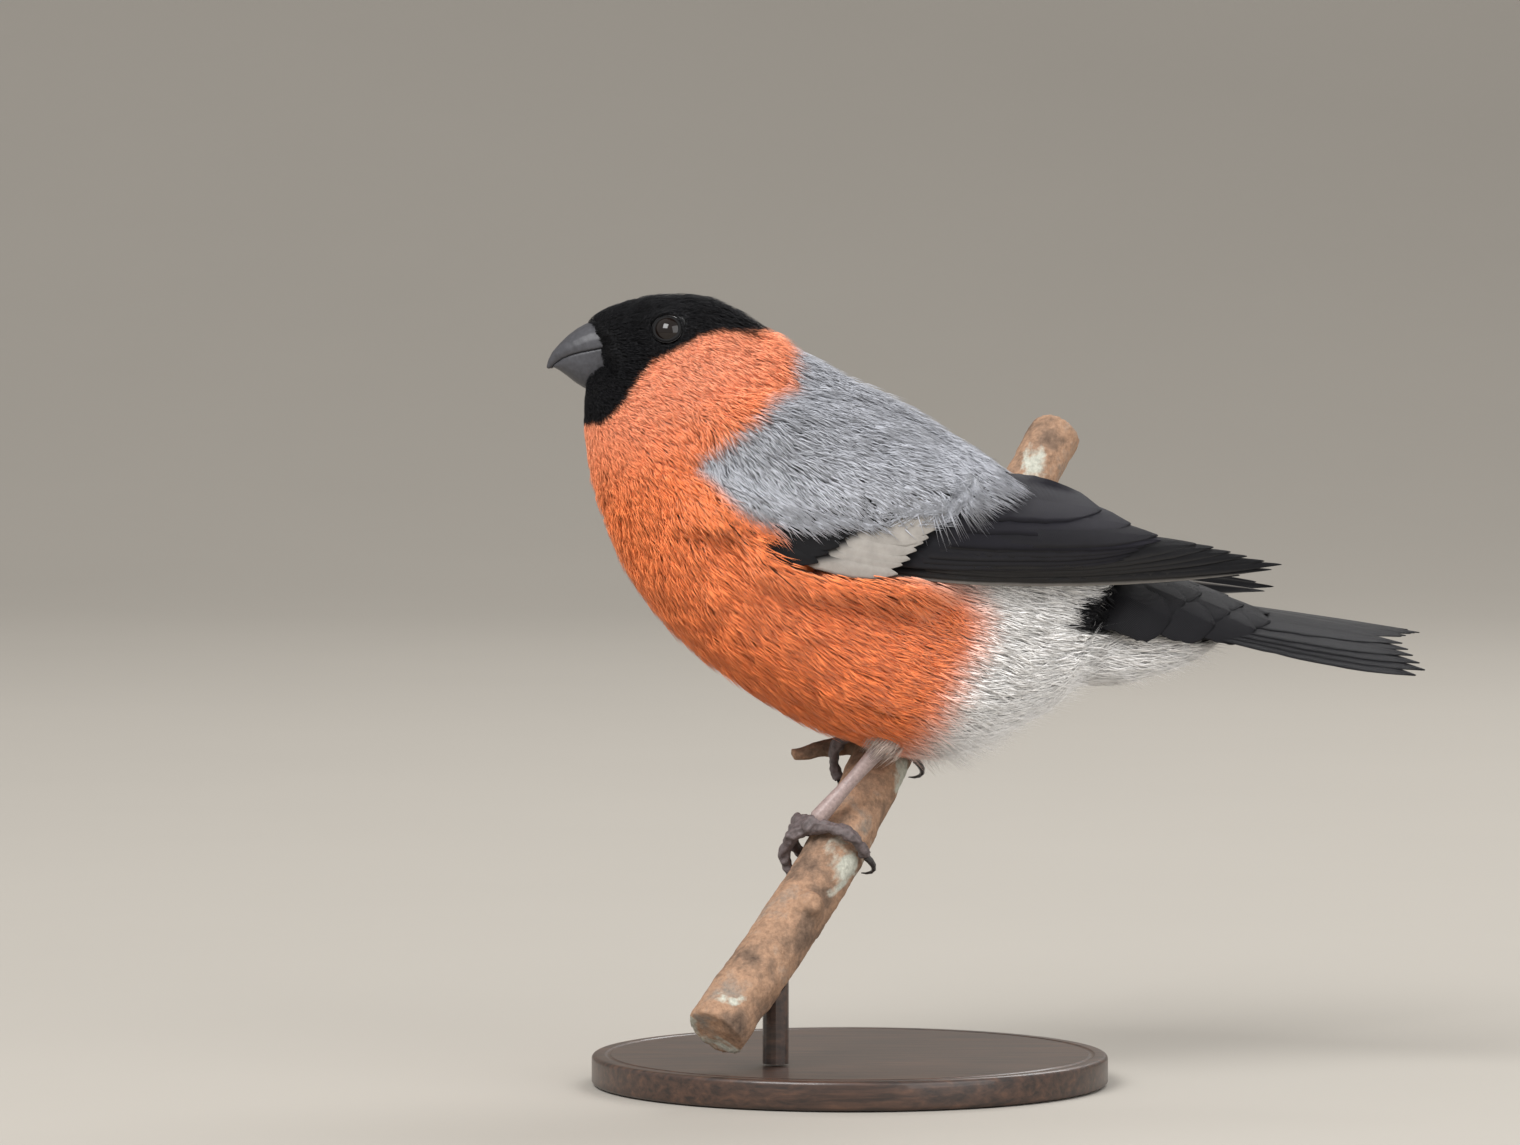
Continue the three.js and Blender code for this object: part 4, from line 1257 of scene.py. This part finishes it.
    def build(self, materials: Materials, shell: WingShell, markings: Markings) -> bpy.types.Object:
        """Makes the skin and paints it.

        Args:
            materials: the model's finishes.
            shell: the wings' form.
            markings: the plumage's borders and colours.

        Returns:
            The skin.
        """
        body = copy_of("skin", "head", "neck", "torso")
        set_points(body, points_of(body) + normals_of(body) * self.joint_gap)
        pads = [self.pad(shell, side) for side in Side]
        cores = [self.core(*spec) for spec in self.cores]
        select_only(body, *cores, *pads)
        bpy.ops.object.join()
        modify(body, "REMESH", mode="VOXEL", voxel_size=self.voxel)
        modify(body, "SMOOTH", factor=0.6, iterations=6)
        shape = points_of(body)
        set_points(body, shape - normals_of(body) * (self.depth(shape) + self.joint_gap)[:, None])
        modify(body, "SMOOTH", factor=0.5, iterations=8)
        self.seat_bill(body, markings)
        select_only(body)
        bpy.ops.object.shade_smooth()
        set_tint(body, markings.colour(points_of(body)) * self.shade)
        show(body, materials.skin, "body_feathers", "head", "neck", "torso")
        return body


@dataclass
class Tufts:
    """Tapered three-sided tufts: rows of points in metres, with each tuft's width and linear colour."""

    roots: Array
    middles: Array
    tips: Array
    across: Array
    normals: Array
    wide: Array
    tint: Array

    def build(self, name: str, line: BodyLine, picked: Array | slice = slice(None)) -> bpy.types.Object:
        """Makes one mesh of the tufts, each in its own spot of the bake map.

        Args:
            name: the piece's name.
            line: the bird's middle line, which lays out the bake map.
            picked: which tufts to make.

        Returns:
            The new object.
        """
        roots, middles, tips, across, normals, wide, tint = (getattr(self, key)[picked] for key in vars(self))
        half, ridge = across * (wide / 2)[:, None], normals * (wide * 0.28)[:, None]
        base = roots - normals * 0.2 * MM
        waist = half * 0.85
        rings = [base - half, base + half, base + ridge]
        rings += [middles - waist, middles + waist, middles + ridge, tips]
        points = np.stack(rings, axis=1).reshape(-1, 3)
        shape = np.array([
            (0, 2, 1), (0, 1, 4), (0, 4, 3), (1, 2, 5), (1, 5, 4), (2, 0, 3), (2, 3, 5), (3, 4, 6), (4, 5, 6),
            (5, 3, 6),
        ])
        corners = (shape[None] + len(rings) * np.arange(len(roots))[:, None, None]).reshape(-1, 3)
        # Painted shade and light: each tuft is darker at its root and low edges, where the coat shades it,
        # and lighter along its ridge and at its tip.
        painted_shading = np.array([0.82, 0.82, 0.88, 0.97, 0.97, 1.02, 1.1])
        colours = (tint[:, None, :] * painted_shading[None, :, None]).reshape(-1, 3)
        share, angle, _ = line.place(roots)
        centre = np.column_stack([share, 0.5 + angle / (2 * np.pi)]) * 0.96 + 0.02
        patch = np.array([(-1, 0), (1, 0), (0, 0.3), (-1, 0.5), (1, 0.5), (0, 0.5), (0, 1)]) * 0.0015
        bake = (centre[:, None, :] + patch[None]).reshape(-1, 2)
        return mesh_from(name, points, corners, colours, {"OFBake": bake})


@dataclass
class Coat:
    """The small feathers: thin tufts rooted on the skin, lying along the body. Places are in millimetres."""

    skin: bpy.types.Object
    skin_plan: Skin
    line: BodyLine
    markings: Markings
    shell: WingShell
    cover: float = 10.6
    seed: int = 5
    over_wing: float = 2.0
    shortest: float = 1.3
    growth: float = 4.9
    vent_growth: float = 2.2
    bill_front: Triple = (-50.0, 0, 123.5)
    eye_clear: float = 2.3
    bill_clear: float = 2.2
    tail_start: float = 57
    colour_share: float = 0.45
    clump_count: int = 2600
    thigh_count: int = 420
    fewest: int = 40

    def length(self, points: Array) -> Array:
        """Finds how long the tufts are, short on the face and longest at the vent.

        Args:
            points: rows of x, y, z in metres.

        Returns:
            The length at each point in metres.
        """
        mm = points / MM
        long = self.shortest + self.growth * ramp(self.skin_plan.from_bill(points), 3, 44)
        long = long + self.vent_growth * ramp(mm[:, 0], 8, 34) * ramp(-mm[:, 2], -84, -66)
        return np.minimum(long, 0.9 + 0.42 * np.maximum(self.skin_plan.from_eye(points) - 2.4, 0)) * MM

    def width(self, length: Array) -> Array:
        """Finds how wide a tuft of a length is at its root."""
        return (0.1 + 0.022 * length / MM) * MM

    def flow(self, points: Array, normals: Array) -> Array:
        """Finds the way that the coat lies.

        Args:
            points: places on the skin in metres.
            normals: the skin's normals there.

        Returns:
            One direction along the skin for each point.
        """
        way = self.line.place(points)[2]
        from_bill = points - np.array(self.bill_front) * MM
        near = 1 - ramp(np.linalg.norm(from_bill, axis=1) / MM, 9, 26)[:, None]
        way = unit(way * (1 - near) + unit(from_bill) * near)
        eye = np.column_stack([points[:, 0], np.abs(points[:, 1]), points[:, 2]])
        eye = eye - np.array(self.skin_plan.eye) * MM
        eye[:, 1] *= np.sign(points[:, 1])
        away = (1 - ramp(np.linalg.norm(eye, axis=1) / MM, 2.5, 6))[:, None]
        way = unit(way + 0.9 * away * unit(eye))
        return unit(way - normals * (way * normals).sum(axis=1, keepdims=True))

    def sow(self, random: np.random.Generator) -> tuple[Array, Array]:
        """Places roots on the skin, denser where the tufts are small.

        Args:
            random: the source of chance.

        Returns:
            The roots and the skin's normals there.
        """
        mesh = self.skin.data
        mesh.calc_loop_triangles()
        corners = np.empty(len(mesh.loop_triangles) * 3, dtype=np.int32)
        mesh.loop_triangles.foreach_get("vertices", corners)
        corners = corners.reshape(-1, 3)
        points, normals = points_of(self.skin), normals_of(self.skin)
        a, b, c = (points[corners[:, i]] for i in range(3))
        areas = np.linalg.norm(np.cross(b - a, c - a), axis=1) / 2
        middle = (a + b + c) / 3
        long = self.length(middle)
        count = random.poisson(areas * self.cover / (long * self.width(long)) * self.shows(middle))
        rows = np.repeat(np.arange(len(corners)), count)
        u, v = random.random(len(rows)), random.random(len(rows))
        fold = u + v > 1
        u[fold], v[fold] = 1 - u[fold], 1 - v[fold]
        pick = corners[rows]
        weights = ((1 - u - v)[:, None], u[:, None], v[:, None])
        spots, ways = (
            sum(values[pick[:, i]] * weight for i, weight in enumerate(weights))
            for values in (points, normals)
        )
        return spots, unit(ways)

    def shows(self, points: Array) -> Array:
        """Finds how much of the coat a place needs.

        Args:
            points: places on the skin in metres.

        Returns:
            A share for each place, 0 in the eye, inside the bill and under the wing's middle.
        """
        clear_of_eye = self.skin_plan.from_eye(points) > self.eye_clear
        clear_of_bill = self.markings.in_bill(points) < self.bill_clear
        clear_of_tail = points[:, 0] / MM < self.tail_start
        clear = clear_of_eye & clear_of_bill & ~self.markings.under_wing(points) & clear_of_tail
        return clear * (0.6 + 0.4 * ramp(self.length(points) / MM, 2.0, 4.5))

    def region(self, roots: Array) -> Array:
        """Sorts roots into regions.

        Args:
            roots: the tufts' roots in metres.

        Returns:
            The number of each root's region.
        """
        share, angle, _ = self.line.place(roots)
        turn = np.degrees(np.abs(angle))
        left, back = roots[:, 1] < 0, turn < 62
        side, rear = ~back & (share >= 0.2) & (share < 0.42), share >= 0.36
        flank = ~back & (share >= 0.42) & (turn < 135)
        regions = list(Region)
        spot = np.full(len(roots), regions.index(Region.BREAST))
        for region, mask in (
            (Region.FACE, share < 0.2), (Region.CROWN, (share < 0.36) & back),
            (Region.NECK_LEFT, side & left), (Region.NECK_RIGHT, side & ~left),
            (Region.MANTLE_LEFT, rear & back & left),
            (Region.MANTLE_RIGHT, rear & back & ~left), (Region.FLANK_LEFT, flank & left),
            (Region.FLANK_RIGHT, flank & ~left), (Region.VENT, (share >= 0.72) & ~back),
        ):
            spot[mask] = regions.index(region)
        return spot

    def build(self, materials: Materials) -> None:
        """Makes the coat, one piece for each region, with the black parts apart.

        Args:
            materials: the model's finishes.
        """
        random = np.random.default_rng(self.seed)
        roots, normals = self.sow(random)
        self.loose(materials, roots, normals, random)
        self.thighs(materials, random)
        tufts, black = self.combed(roots, normals, random)
        spots = self.region(roots)
        for number, region in enumerate(Region):
            for title, mask, material, slot in (
                ("", (spots == number) & ~black, materials.coat, "body_feathers"),
                ("_black", (spots == number) & black, materials.cap, "cap_feathers"),
            ):
                if mask.sum() >= self.fewest:
                    piece = tufts.build(f"coat_{region.value}{title}", self.line, mask)
                    show(piece, material, slot)

    def combed(self, roots: Array, normals: Array, random: np.random.Generator) -> tuple[Tufts, Array]:
        """Lays the tufts of the whole coat along the body.

        Args:
            roots: the tufts' roots in metres.
            normals: the skin's normals there.
            random: the source of chance.

        Returns:
            The tufts, and whether each one is black.
        """
        count = len(roots)
        long = self.length(roots) * random.uniform(0.75, 1.2, count)
        wide = self.width(long) * random.uniform(0.8, 1.25, count)
        way = self.flow(roots, normals)
        forward = ramp(self.markings.in_bill(roots), -2.6, -0.6) * ramp(roots[:, 2] / MM, 123.0, 124.5)
        way[random.random(count) < forward * 0.8] *= -1
        clump, turn, bright = self.clumps(roots, random)
        lean = (turn + random.normal(0, 0.13, count))[:, None]
        way = unit(way * np.cos(lean) + np.cross(normals, way) * np.sin(lean))
        height = self.skin_plan.depth(roots) * (0.45 + 0.55 * random.random(count)) * (1 + 0.12 * clump)
        skin = BVHTree.FromPolygons(
            [Vector(p) for p in points_of(self.skin)], [tuple(p.vertices) for p in self.skin.data.polygons]
        )
        middles = self.over_skin(skin, roots + way * (long * 0.5)[:, None], height * 0.85)
        tips = self.over_skin(skin, roots + way * long[:, None], height * 1.05)
        middles, tips = self.over_vanes(roots, middles, 0.9), self.over_vanes(roots, tips, 1.0)
        coloured = roots + way * (long * self.colour_share)[:, None]
        tint = self.markings.colour(coloured) * (bright * random.normal(1, 0.06, count))[:, None]
        tufts = Tufts(roots, middles, tips, np.cross(normals, way), normals, wide, tint)
        return tufts, self.markings.is_black(coloured)

    def loose(self, materials: Materials, roots: Array, normals: Array, random: np.random.Generator) -> None:
        """Makes the long loose plumes of the vent.

        Args:
            materials: the model's finishes.
            roots: places on the skin to choose from, in metres.
            normals: the skin's normals there.
            random: the source of chance.
        """
        mm = roots / MM
        low = ramp(-mm[:, 2], -72, -60) * ramp(mm[:, 0], 1, 12) * (mm[:, 0] < 44)
        rear = ramp(mm[:, 0], 26, 34) * ramp(-mm[:, 2], -76, -70)
        keep = random.random(len(roots)) < 0.3 * np.maximum(low, rear)
        roots, normals = roots[keep], normals[keep]
        count = len(roots)
        way = self.flow(roots, normals)
        long = random.uniform(6.0, 10.0, count)[:, None] * MM
        start = unit(way + 0.28 * normals)
        finish = unit(way + 0.3 * normals + [0.12, 0, -0.32] + random.normal(0, 0.12, (count, 3)))
        middles, tips = roots + start * long * 0.5, roots + start * long * 0.45 + finish * long * 0.55
        tint = self.markings.colour(roots + way * 4 * MM)
        wide = random.uniform(0.12, 0.2, count) * MM
        tufts = Tufts(roots, middles, tips, np.cross(normals, way), normals, wide, tint)
        show(tufts.build("coat_vent_plumes", self.line), materials.coat, "body_feathers")

    def thighs(self, materials: Materials, random: np.random.Generator) -> None:
        """Makes the short pale plumes round the top of each shank.

        Args:
            materials: the model's finishes.
            random: the source of chance.
        """
        count = self.thigh_count
        for side in Side:
            low, high = (np.array(corner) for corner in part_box(f"leg_{side.word}"))
            top = np.array([high[0], (low[1] + high[1]) / 2, high[2]])
            way = unit(np.array([low[0], top[1], low[2]]) - top)
            across = np.array([0.0, 1.0, 0.0])
            turn = random.uniform(0, 2 * np.pi, count)[:, None]
            out = across * np.cos(turn) + np.cross(way, across) * np.sin(turn)
            long = random.uniform(3.5, 6.5, count)[:, None] * MM
            back, aside = random.uniform(1.0, 3.0, (count, 1)), random.uniform(0.9, 2.4, (count, 1))
            roots = top - way * back * MM + out * aside * MM
            middles = roots + (way + 0.3 * out) * long * 0.5
            tips = middles + (way - 0.12 * out + random.normal(0, 0.08, (count, 3))) * long * 0.5
            tint = np.tile(THIGH, (count, 1)) * random.normal(1, 0.06, (count, 1))
            wide = random.uniform(0.14, 0.24, count) * MM
            tufts = Tufts(roots, middles, tips, np.cross(out, way), out, wide, tint)
            show(tufts.build(f"coat_thigh_{side.word}", self.line), materials.coat, "body_feathers")

    def over_vanes(self, roots: Array, points: Array, share: float) -> Array:
        """Lifts the coat's fringes out over the wing's vanes.

        Args:
            roots: the tufts' roots in metres.
            points: the tufts' middles or tips.
            share: how much of the lift these points get.

        Returns:
            The lifted points.
        """
        out = points.copy()
        strength = self.markings.fringe(roots) * share
        least = (self.shell.width(points[:, 0] / MM, points[:, 2] / MM) + self.over_wing) * MM
        out[:, 1] += np.sign(points[:, 1]) * np.maximum(least - np.abs(points[:, 1]), 0) * strength
        return out

    def clumps(self, roots: Array, random: np.random.Generator) -> tuple[Array, Array, Array]:
        """Gathers tufts into feathers that share a height, a small turn and a brightness.

        Args:
            roots: the tufts' roots in metres.
            random: the source of chance.

        Returns:
            For each tuft its feather's height change, turn and brightness.
        """
        seeds = roots[random.choice(len(roots), min(self.clump_count, len(roots)), replace=False)]
        tree = KDTree(len(seeds))
        for i, seed in enumerate(seeds):
            tree.insert(seed, i)
        tree.balance()
        owner = np.array([tree.find(root)[1] for root in roots])
        rise, turn = random.normal(0, 1, len(seeds)), random.normal(0, 0.1, len(seeds))
        bright = random.normal(1, 0.035, len(seeds))
        return rise[owner], turn[owner], bright[owner]

    @staticmethod
    def over_skin(skin: BVHTree, points: Array, height: Array) -> Array:
        """Brings points back to a height over the skin.

        Args:
            skin: the skin's faces.
            points: rows of x, y, z in metres.
            height: each point's height in metres.

        Returns:
            The moved points.
        """
        out = np.empty_like(points)
        for i, point in enumerate(points):
            spot, normal, _, _ = skin.find_nearest(point)
            out[i] = spot + normal * float(height[i])
        return out


@dataclass
class Face:
    """Eyes, lids and bill. Each lid ring has a name, a radius, a thickness and how far it stands out."""

    lid_rings: tuple[tuple[str, float, float, float], ...] = (
        ("eyelid", 2.1, 0.42, 1.8), ("eyelid_rim", 2.4, 0.11, 1.9),
    )
    lid_shape: Triple = (1.06, 0.95, 1.0)
    look: Triple = (-0.2, 1, 0.3)
    horn_voxel: float = 0.16 * MM
    horn_swell: float = 0.14 * MM

    def eye(self, side: Side, materials: Materials) -> None:
        """Makes one smooth eyeball and the lid's rings round it.

        Args:
            side: which eye.
            materials: the model's finishes.
        """
        node = f"eye_{side.word}"
        low, high = (np.array(corner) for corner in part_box(node))
        centre, radius = (low + high) / 2, float(high[2] - low[2]) / 2
        bpy.ops.mesh.primitive_uv_sphere_add(
            segments=64, ring_count=40, radius=radius, location=tuple(centre)
        )
        ball = settle(bpy.context.object, f"eyeball_{side.word}")
        bpy.ops.object.shade_smooth()
        show(ball, materials.eye, "eyes", node)
        look = Vector((self.look[0], side.value * self.look[1], self.look[2])).normalized()
        for title, reach, tube, out in self.lid_rings:
            bpy.ops.mesh.primitive_torus_add(
                major_segments=72, minor_segments=16, major_radius=reach * MM, minor_radius=tube * MM
            )
            lid = bpy.context.object
            lid.scale = self.lid_shape
            lid.rotation_mode = "QUATERNION"
            lid.rotation_quaternion = look.to_track_quat("Z", "Y")
            lid.location = Vector(centre) + look * (out * MM)
            settle(lid, f"{title}_{side.word}")
            bpy.ops.object.shade_smooth()
            show(lid, getattr(materials, title.replace("eye", "")), "cap_feathers")

    def bill(self, materials: Materials) -> None:
        """Makes the two smooth halves of the bill.

        Args:
            materials: the model's finishes.
        """
        for part in ("upper", "lower"):
            half = smooth_copy(f"horn_{part}", f"bill_{part}", self.horn_voxel, 10)
            set_points(half, points_of(half) + normals_of(half) * self.horn_swell)
            show(half, materials.horn, "bill", f"bill_{part}")

    def build(self, materials: Materials) -> None:
        """Makes both eyes and the bill."""
        for side in Side:
            self.eye(side, materials)
        self.bill(materials)


@dataclass
class Legs:
    """Shanks, toes and claws."""

    toes: tuple[str, ...] = ("inner", "middle", "outer", "hind")
    shank_voxel: float = 0.2 * MM
    shank_reach: float = 0.7 * MM
    shank_swell: float = 0.22 * MM
    toe_voxel: float = 0.16 * MM
    claw_voxel: float = 0.1 * MM
    pad_size: float = 1.1 * MM
    pad_height: float = 0.55 * MM

    def shank(self, word: str) -> bpy.types.Object:
        """Makes the bare shank, a little stouter and longer than its solid so that it meets foot and thigh.

        Args:
            word: left or right.

        Returns:
            The shank.
        """
        piece = smooth_copy(f"shank_{word}", f"leg_{word}", self.shank_voxel, 6)
        shape = points_of(piece)
        centre = shape.mean(axis=0)
        axis = np.linalg.svd(shape - centre, full_matrices=False)[2][0]
        along = (shape - centre) @ axis
        shape = shape + np.outer(along / np.abs(along).max(), axis) * self.shank_reach
        set_points(piece, shape + normals_of(piece) * self.shank_swell)
        return piece

    def foot(self, word: str) -> bpy.types.Object:
        """Makes the toes with their rough pads.

        Args:
            word: left or right.

        Returns:
            The toes.
        """
        foot = smooth_copy(f"toes_{word}", f"foot_{word}", self.toe_voxel, 6)
        pads = bpy.data.textures.new("toe_pads", "STUCCI")
        pads.noise_scale = self.pad_size
        modify(foot, "DISPLACE", texture=pads, strength=self.pad_height, mid_level=0.45)
        modify(foot, "SMOOTH", factor=0.4, iterations=2)
        return foot

    def build(self, materials: Materials) -> None:
        """Makes both legs.

        Args:
            materials: the model's finishes.
        """
        for word in (side.word for side in Side):
            show(self.shank(word), materials.leg, "leg_skin", f"leg_{word}")
            show(self.foot(word), materials.toe, "leg_skin", f"foot_{word}")
            for toe in self.toes:
                node = f"claw_{word}_{toe}"
                claw = smooth_copy(f"talon_{word}_{toe}", node, self.claw_voxel, 4)
                show(claw, materials.claw, "claws", node)


@dataclass
class Perch:
    """The cut length of branch, with rough bark. Each relief has a name, a size in metres and a height."""

    voxel: float = 0.5 * MM
    reliefs: tuple[tuple[str, float, float], ...] = (
        ("bark_waves", 0.012, 0.9 * MM), ("bark_grain", 0.003, 0.45 * MM),
    )

    def build(self, materials: Materials) -> None:
        """Makes the branch from its packed form, with bark relief pressed into it.

        Args:
            materials: the model's finishes.
        """
        branch = smooth_copy("branch", "perch", self.voxel, 5)
        for title, size, height in self.reliefs:
            relief = bpy.data.textures.new(title, "CLOUDS")
            relief.noise_scale = size
            relief.noise_depth = 4
            modify(branch, "DISPLACE", texture=relief, strength=height, mid_level=0.6)
        show(branch, materials.bark, "bark", "perch")


@dataclass
class Stand:
    """The turned base and the rod. A groove runs round the base, as three insets of width and depth."""

    edge: float = 1.2 * MM
    insets: Line = ((2.2 * MM, 0), (0.5 * MM, -0.5 * MM), (0.6 * MM, 0.5 * MM))

    def base(self) -> bpy.types.Object:
        """Makes the base with a softened rim and a groove.

        Returns:
            The base.
        """
        low, high = (np.array(corner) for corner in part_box("stand_base"))
        radius, thick = (high[0] - low[0]) / 2, high[2] - low[2]
        bpy.ops.mesh.primitive_cylinder_add(
            vertices=160, radius=radius, depth=thick, location=(0, 0, thick / 2)
        )
        base = bpy.context.object
        bpy.ops.object.mode_set(mode="EDIT")
        bpy.ops.mesh.select_all(action="DESELECT")
        bpy.ops.object.mode_set(mode="OBJECT")
        for face in base.data.polygons:
            face.select = face.normal.z > 0.9
        bpy.ops.object.mode_set(mode="EDIT")
        bpy.ops.mesh.select_mode(type="FACE")
        for width, depth in self.insets:
            bpy.ops.mesh.inset(thickness=width, depth=depth)
        bpy.ops.object.mode_set(mode="OBJECT")
        modify(base, "BEVEL", width=self.edge, segments=4, limit_method="ANGLE", angle_limit=math.radians(50))
        settle(base, "turned_base")
        bpy.ops.object.shade_smooth_by_angle(angle=math.radians(30))
        return base

    def build(self, materials: Materials) -> None:
        """Makes the base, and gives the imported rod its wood.

        Args:
            materials: the model's finishes.
        """
        show(self.base(), materials.stand, "stand_wood", "stand_base")
        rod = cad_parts["stand_rod"].data
        rod.materials.clear()
        rod.materials.append(materials.stand)


@dataclass
class Studio:
    """Camera, lights and floor, in metres. Each light has a name, a place, a size and a power in watts."""

    middle: Triple = (-0.0153, 0, 0.0871)
    away: float = 1.5
    rise: float = 3.0
    frame_width: float = 0.2584
    sensor: float = 36.0
    lights: tuple[tuple, ...] = (
        ("key", (-0.7, -1.1, 1.25), 0.9, 31.5), ("fill", (1.0, -1.0, 0.6), 1.2, 12),
        ("back", (0.5, 0.9, 1.1), 0.8, 11),
    )
    sky: Colour = srgb(226, 224, 222)
    sky_strength: float = 0.8
    floor_size: float = 6
    floor_drop: float = 0.0002
    wall_height: float = 4
    wall_curve: float = 1.6

    def camera(self) -> None:
        """Sets the camera at the photo's angle, from the bird's left."""
        data = bpy.data.cameras.new("camera")
        data.sensor_width = self.sensor
        data.lens = self.sensor * self.away / self.frame_width
        data.clip_end = 50
        obj = bpy.data.objects.new("camera", data)
        turn = math.radians(self.rise)
        obj.location = Vector(self.middle) + Vector((0, -math.cos(turn), math.sin(turn))) * self.away
        obj.rotation_euler = (math.pi / 2 - turn, 0, 0)
        bpy.context.scene.collection.objects.link(obj)
        bpy.context.scene.camera = obj

    def light(self, name: str, place: Triple, size: float, power: float) -> None:
        """Adds one soft square light that faces the bird.

        Args:
            name: the light's name.
            place: where it stands.
            size: its side length.
            power: its power.
        """
        data = bpy.data.lights.new(name, "AREA")
        data.size, data.energy = size, power
        obj = bpy.data.objects.new(name, data)
        obj.location = place
        obj.rotation_euler = (Vector(self.middle) - Vector(place)).to_track_quat("-Z", "Y").to_euler()
        bpy.context.scene.collection.objects.link(obj)

    def floor(self, materials: Materials) -> None:
        """Adds a plain floor that curves up into a plain backdrop.

        Args:
            materials: the model's finishes.
        """
        bpy.ops.mesh.primitive_plane_add(size=self.floor_size, location=(0, 0, -self.floor_drop))
        floor = bpy.context.object
        bpy.ops.object.mode_set(mode="EDIT")
        bpy.ops.mesh.select_all(action="DESELECT")
        bpy.ops.object.mode_set(mode="OBJECT")
        for edge in floor.data.edges:
            edge.select = all(floor.data.vertices[v].co.y > 0 for v in edge.vertices)
        bpy.ops.object.mode_set(mode="EDIT")
        bpy.ops.mesh.select_mode(type="EDGE")
        bpy.ops.mesh.extrude_region_move(TRANSFORM_OT_translate={"value": (0, 0, self.wall_height)})
        bpy.ops.object.mode_set(mode="OBJECT")
        modify(floor, "BEVEL", width=self.wall_curve, segments=24, limit_method="ANGLE")
        settle(floor, "floor")
        bpy.ops.object.shade_smooth()
        floor.data.materials.append(materials.floor)

    def build(self, materials: Materials) -> None:
        """Sets up the whole studio.

        Args:
            materials: the model's finishes.
        """
        self.camera()
        for light in self.lights:
            self.light(*light)
        self.floor(materials)
        world = bpy.data.worlds.new("studio")
        world.use_nodes = True
        world.node_tree.nodes["Background"].inputs["Color"].default_value = (*self.sky, 1)
        world.node_tree.nodes["Background"].inputs["Strength"].default_value = self.sky_strength
        bpy.context.scene.world = world
        bpy.context.scene.view_settings.view_transform = "Standard"


def main() -> None:
    """Builds every piece in order."""
    logging.basicConfig(level=logging.INFO, format="%(message)s")
    materials, shell, markings, skin_plan = Materials(), WingShell(), Markings(), Skin()
    Studio().build(materials)
    skin = skin_plan.build(materials, shell, markings)
    Coat(skin, skin_plan, BodyLine(), markings, shell).build(materials)
    for side in Side:
        Wing(side, shell).build(materials)
    for part in (Tail(), Face(), Legs(), Perch(), Stand()):
        part.build(materials)


if __name__ == "__main__":
    main()
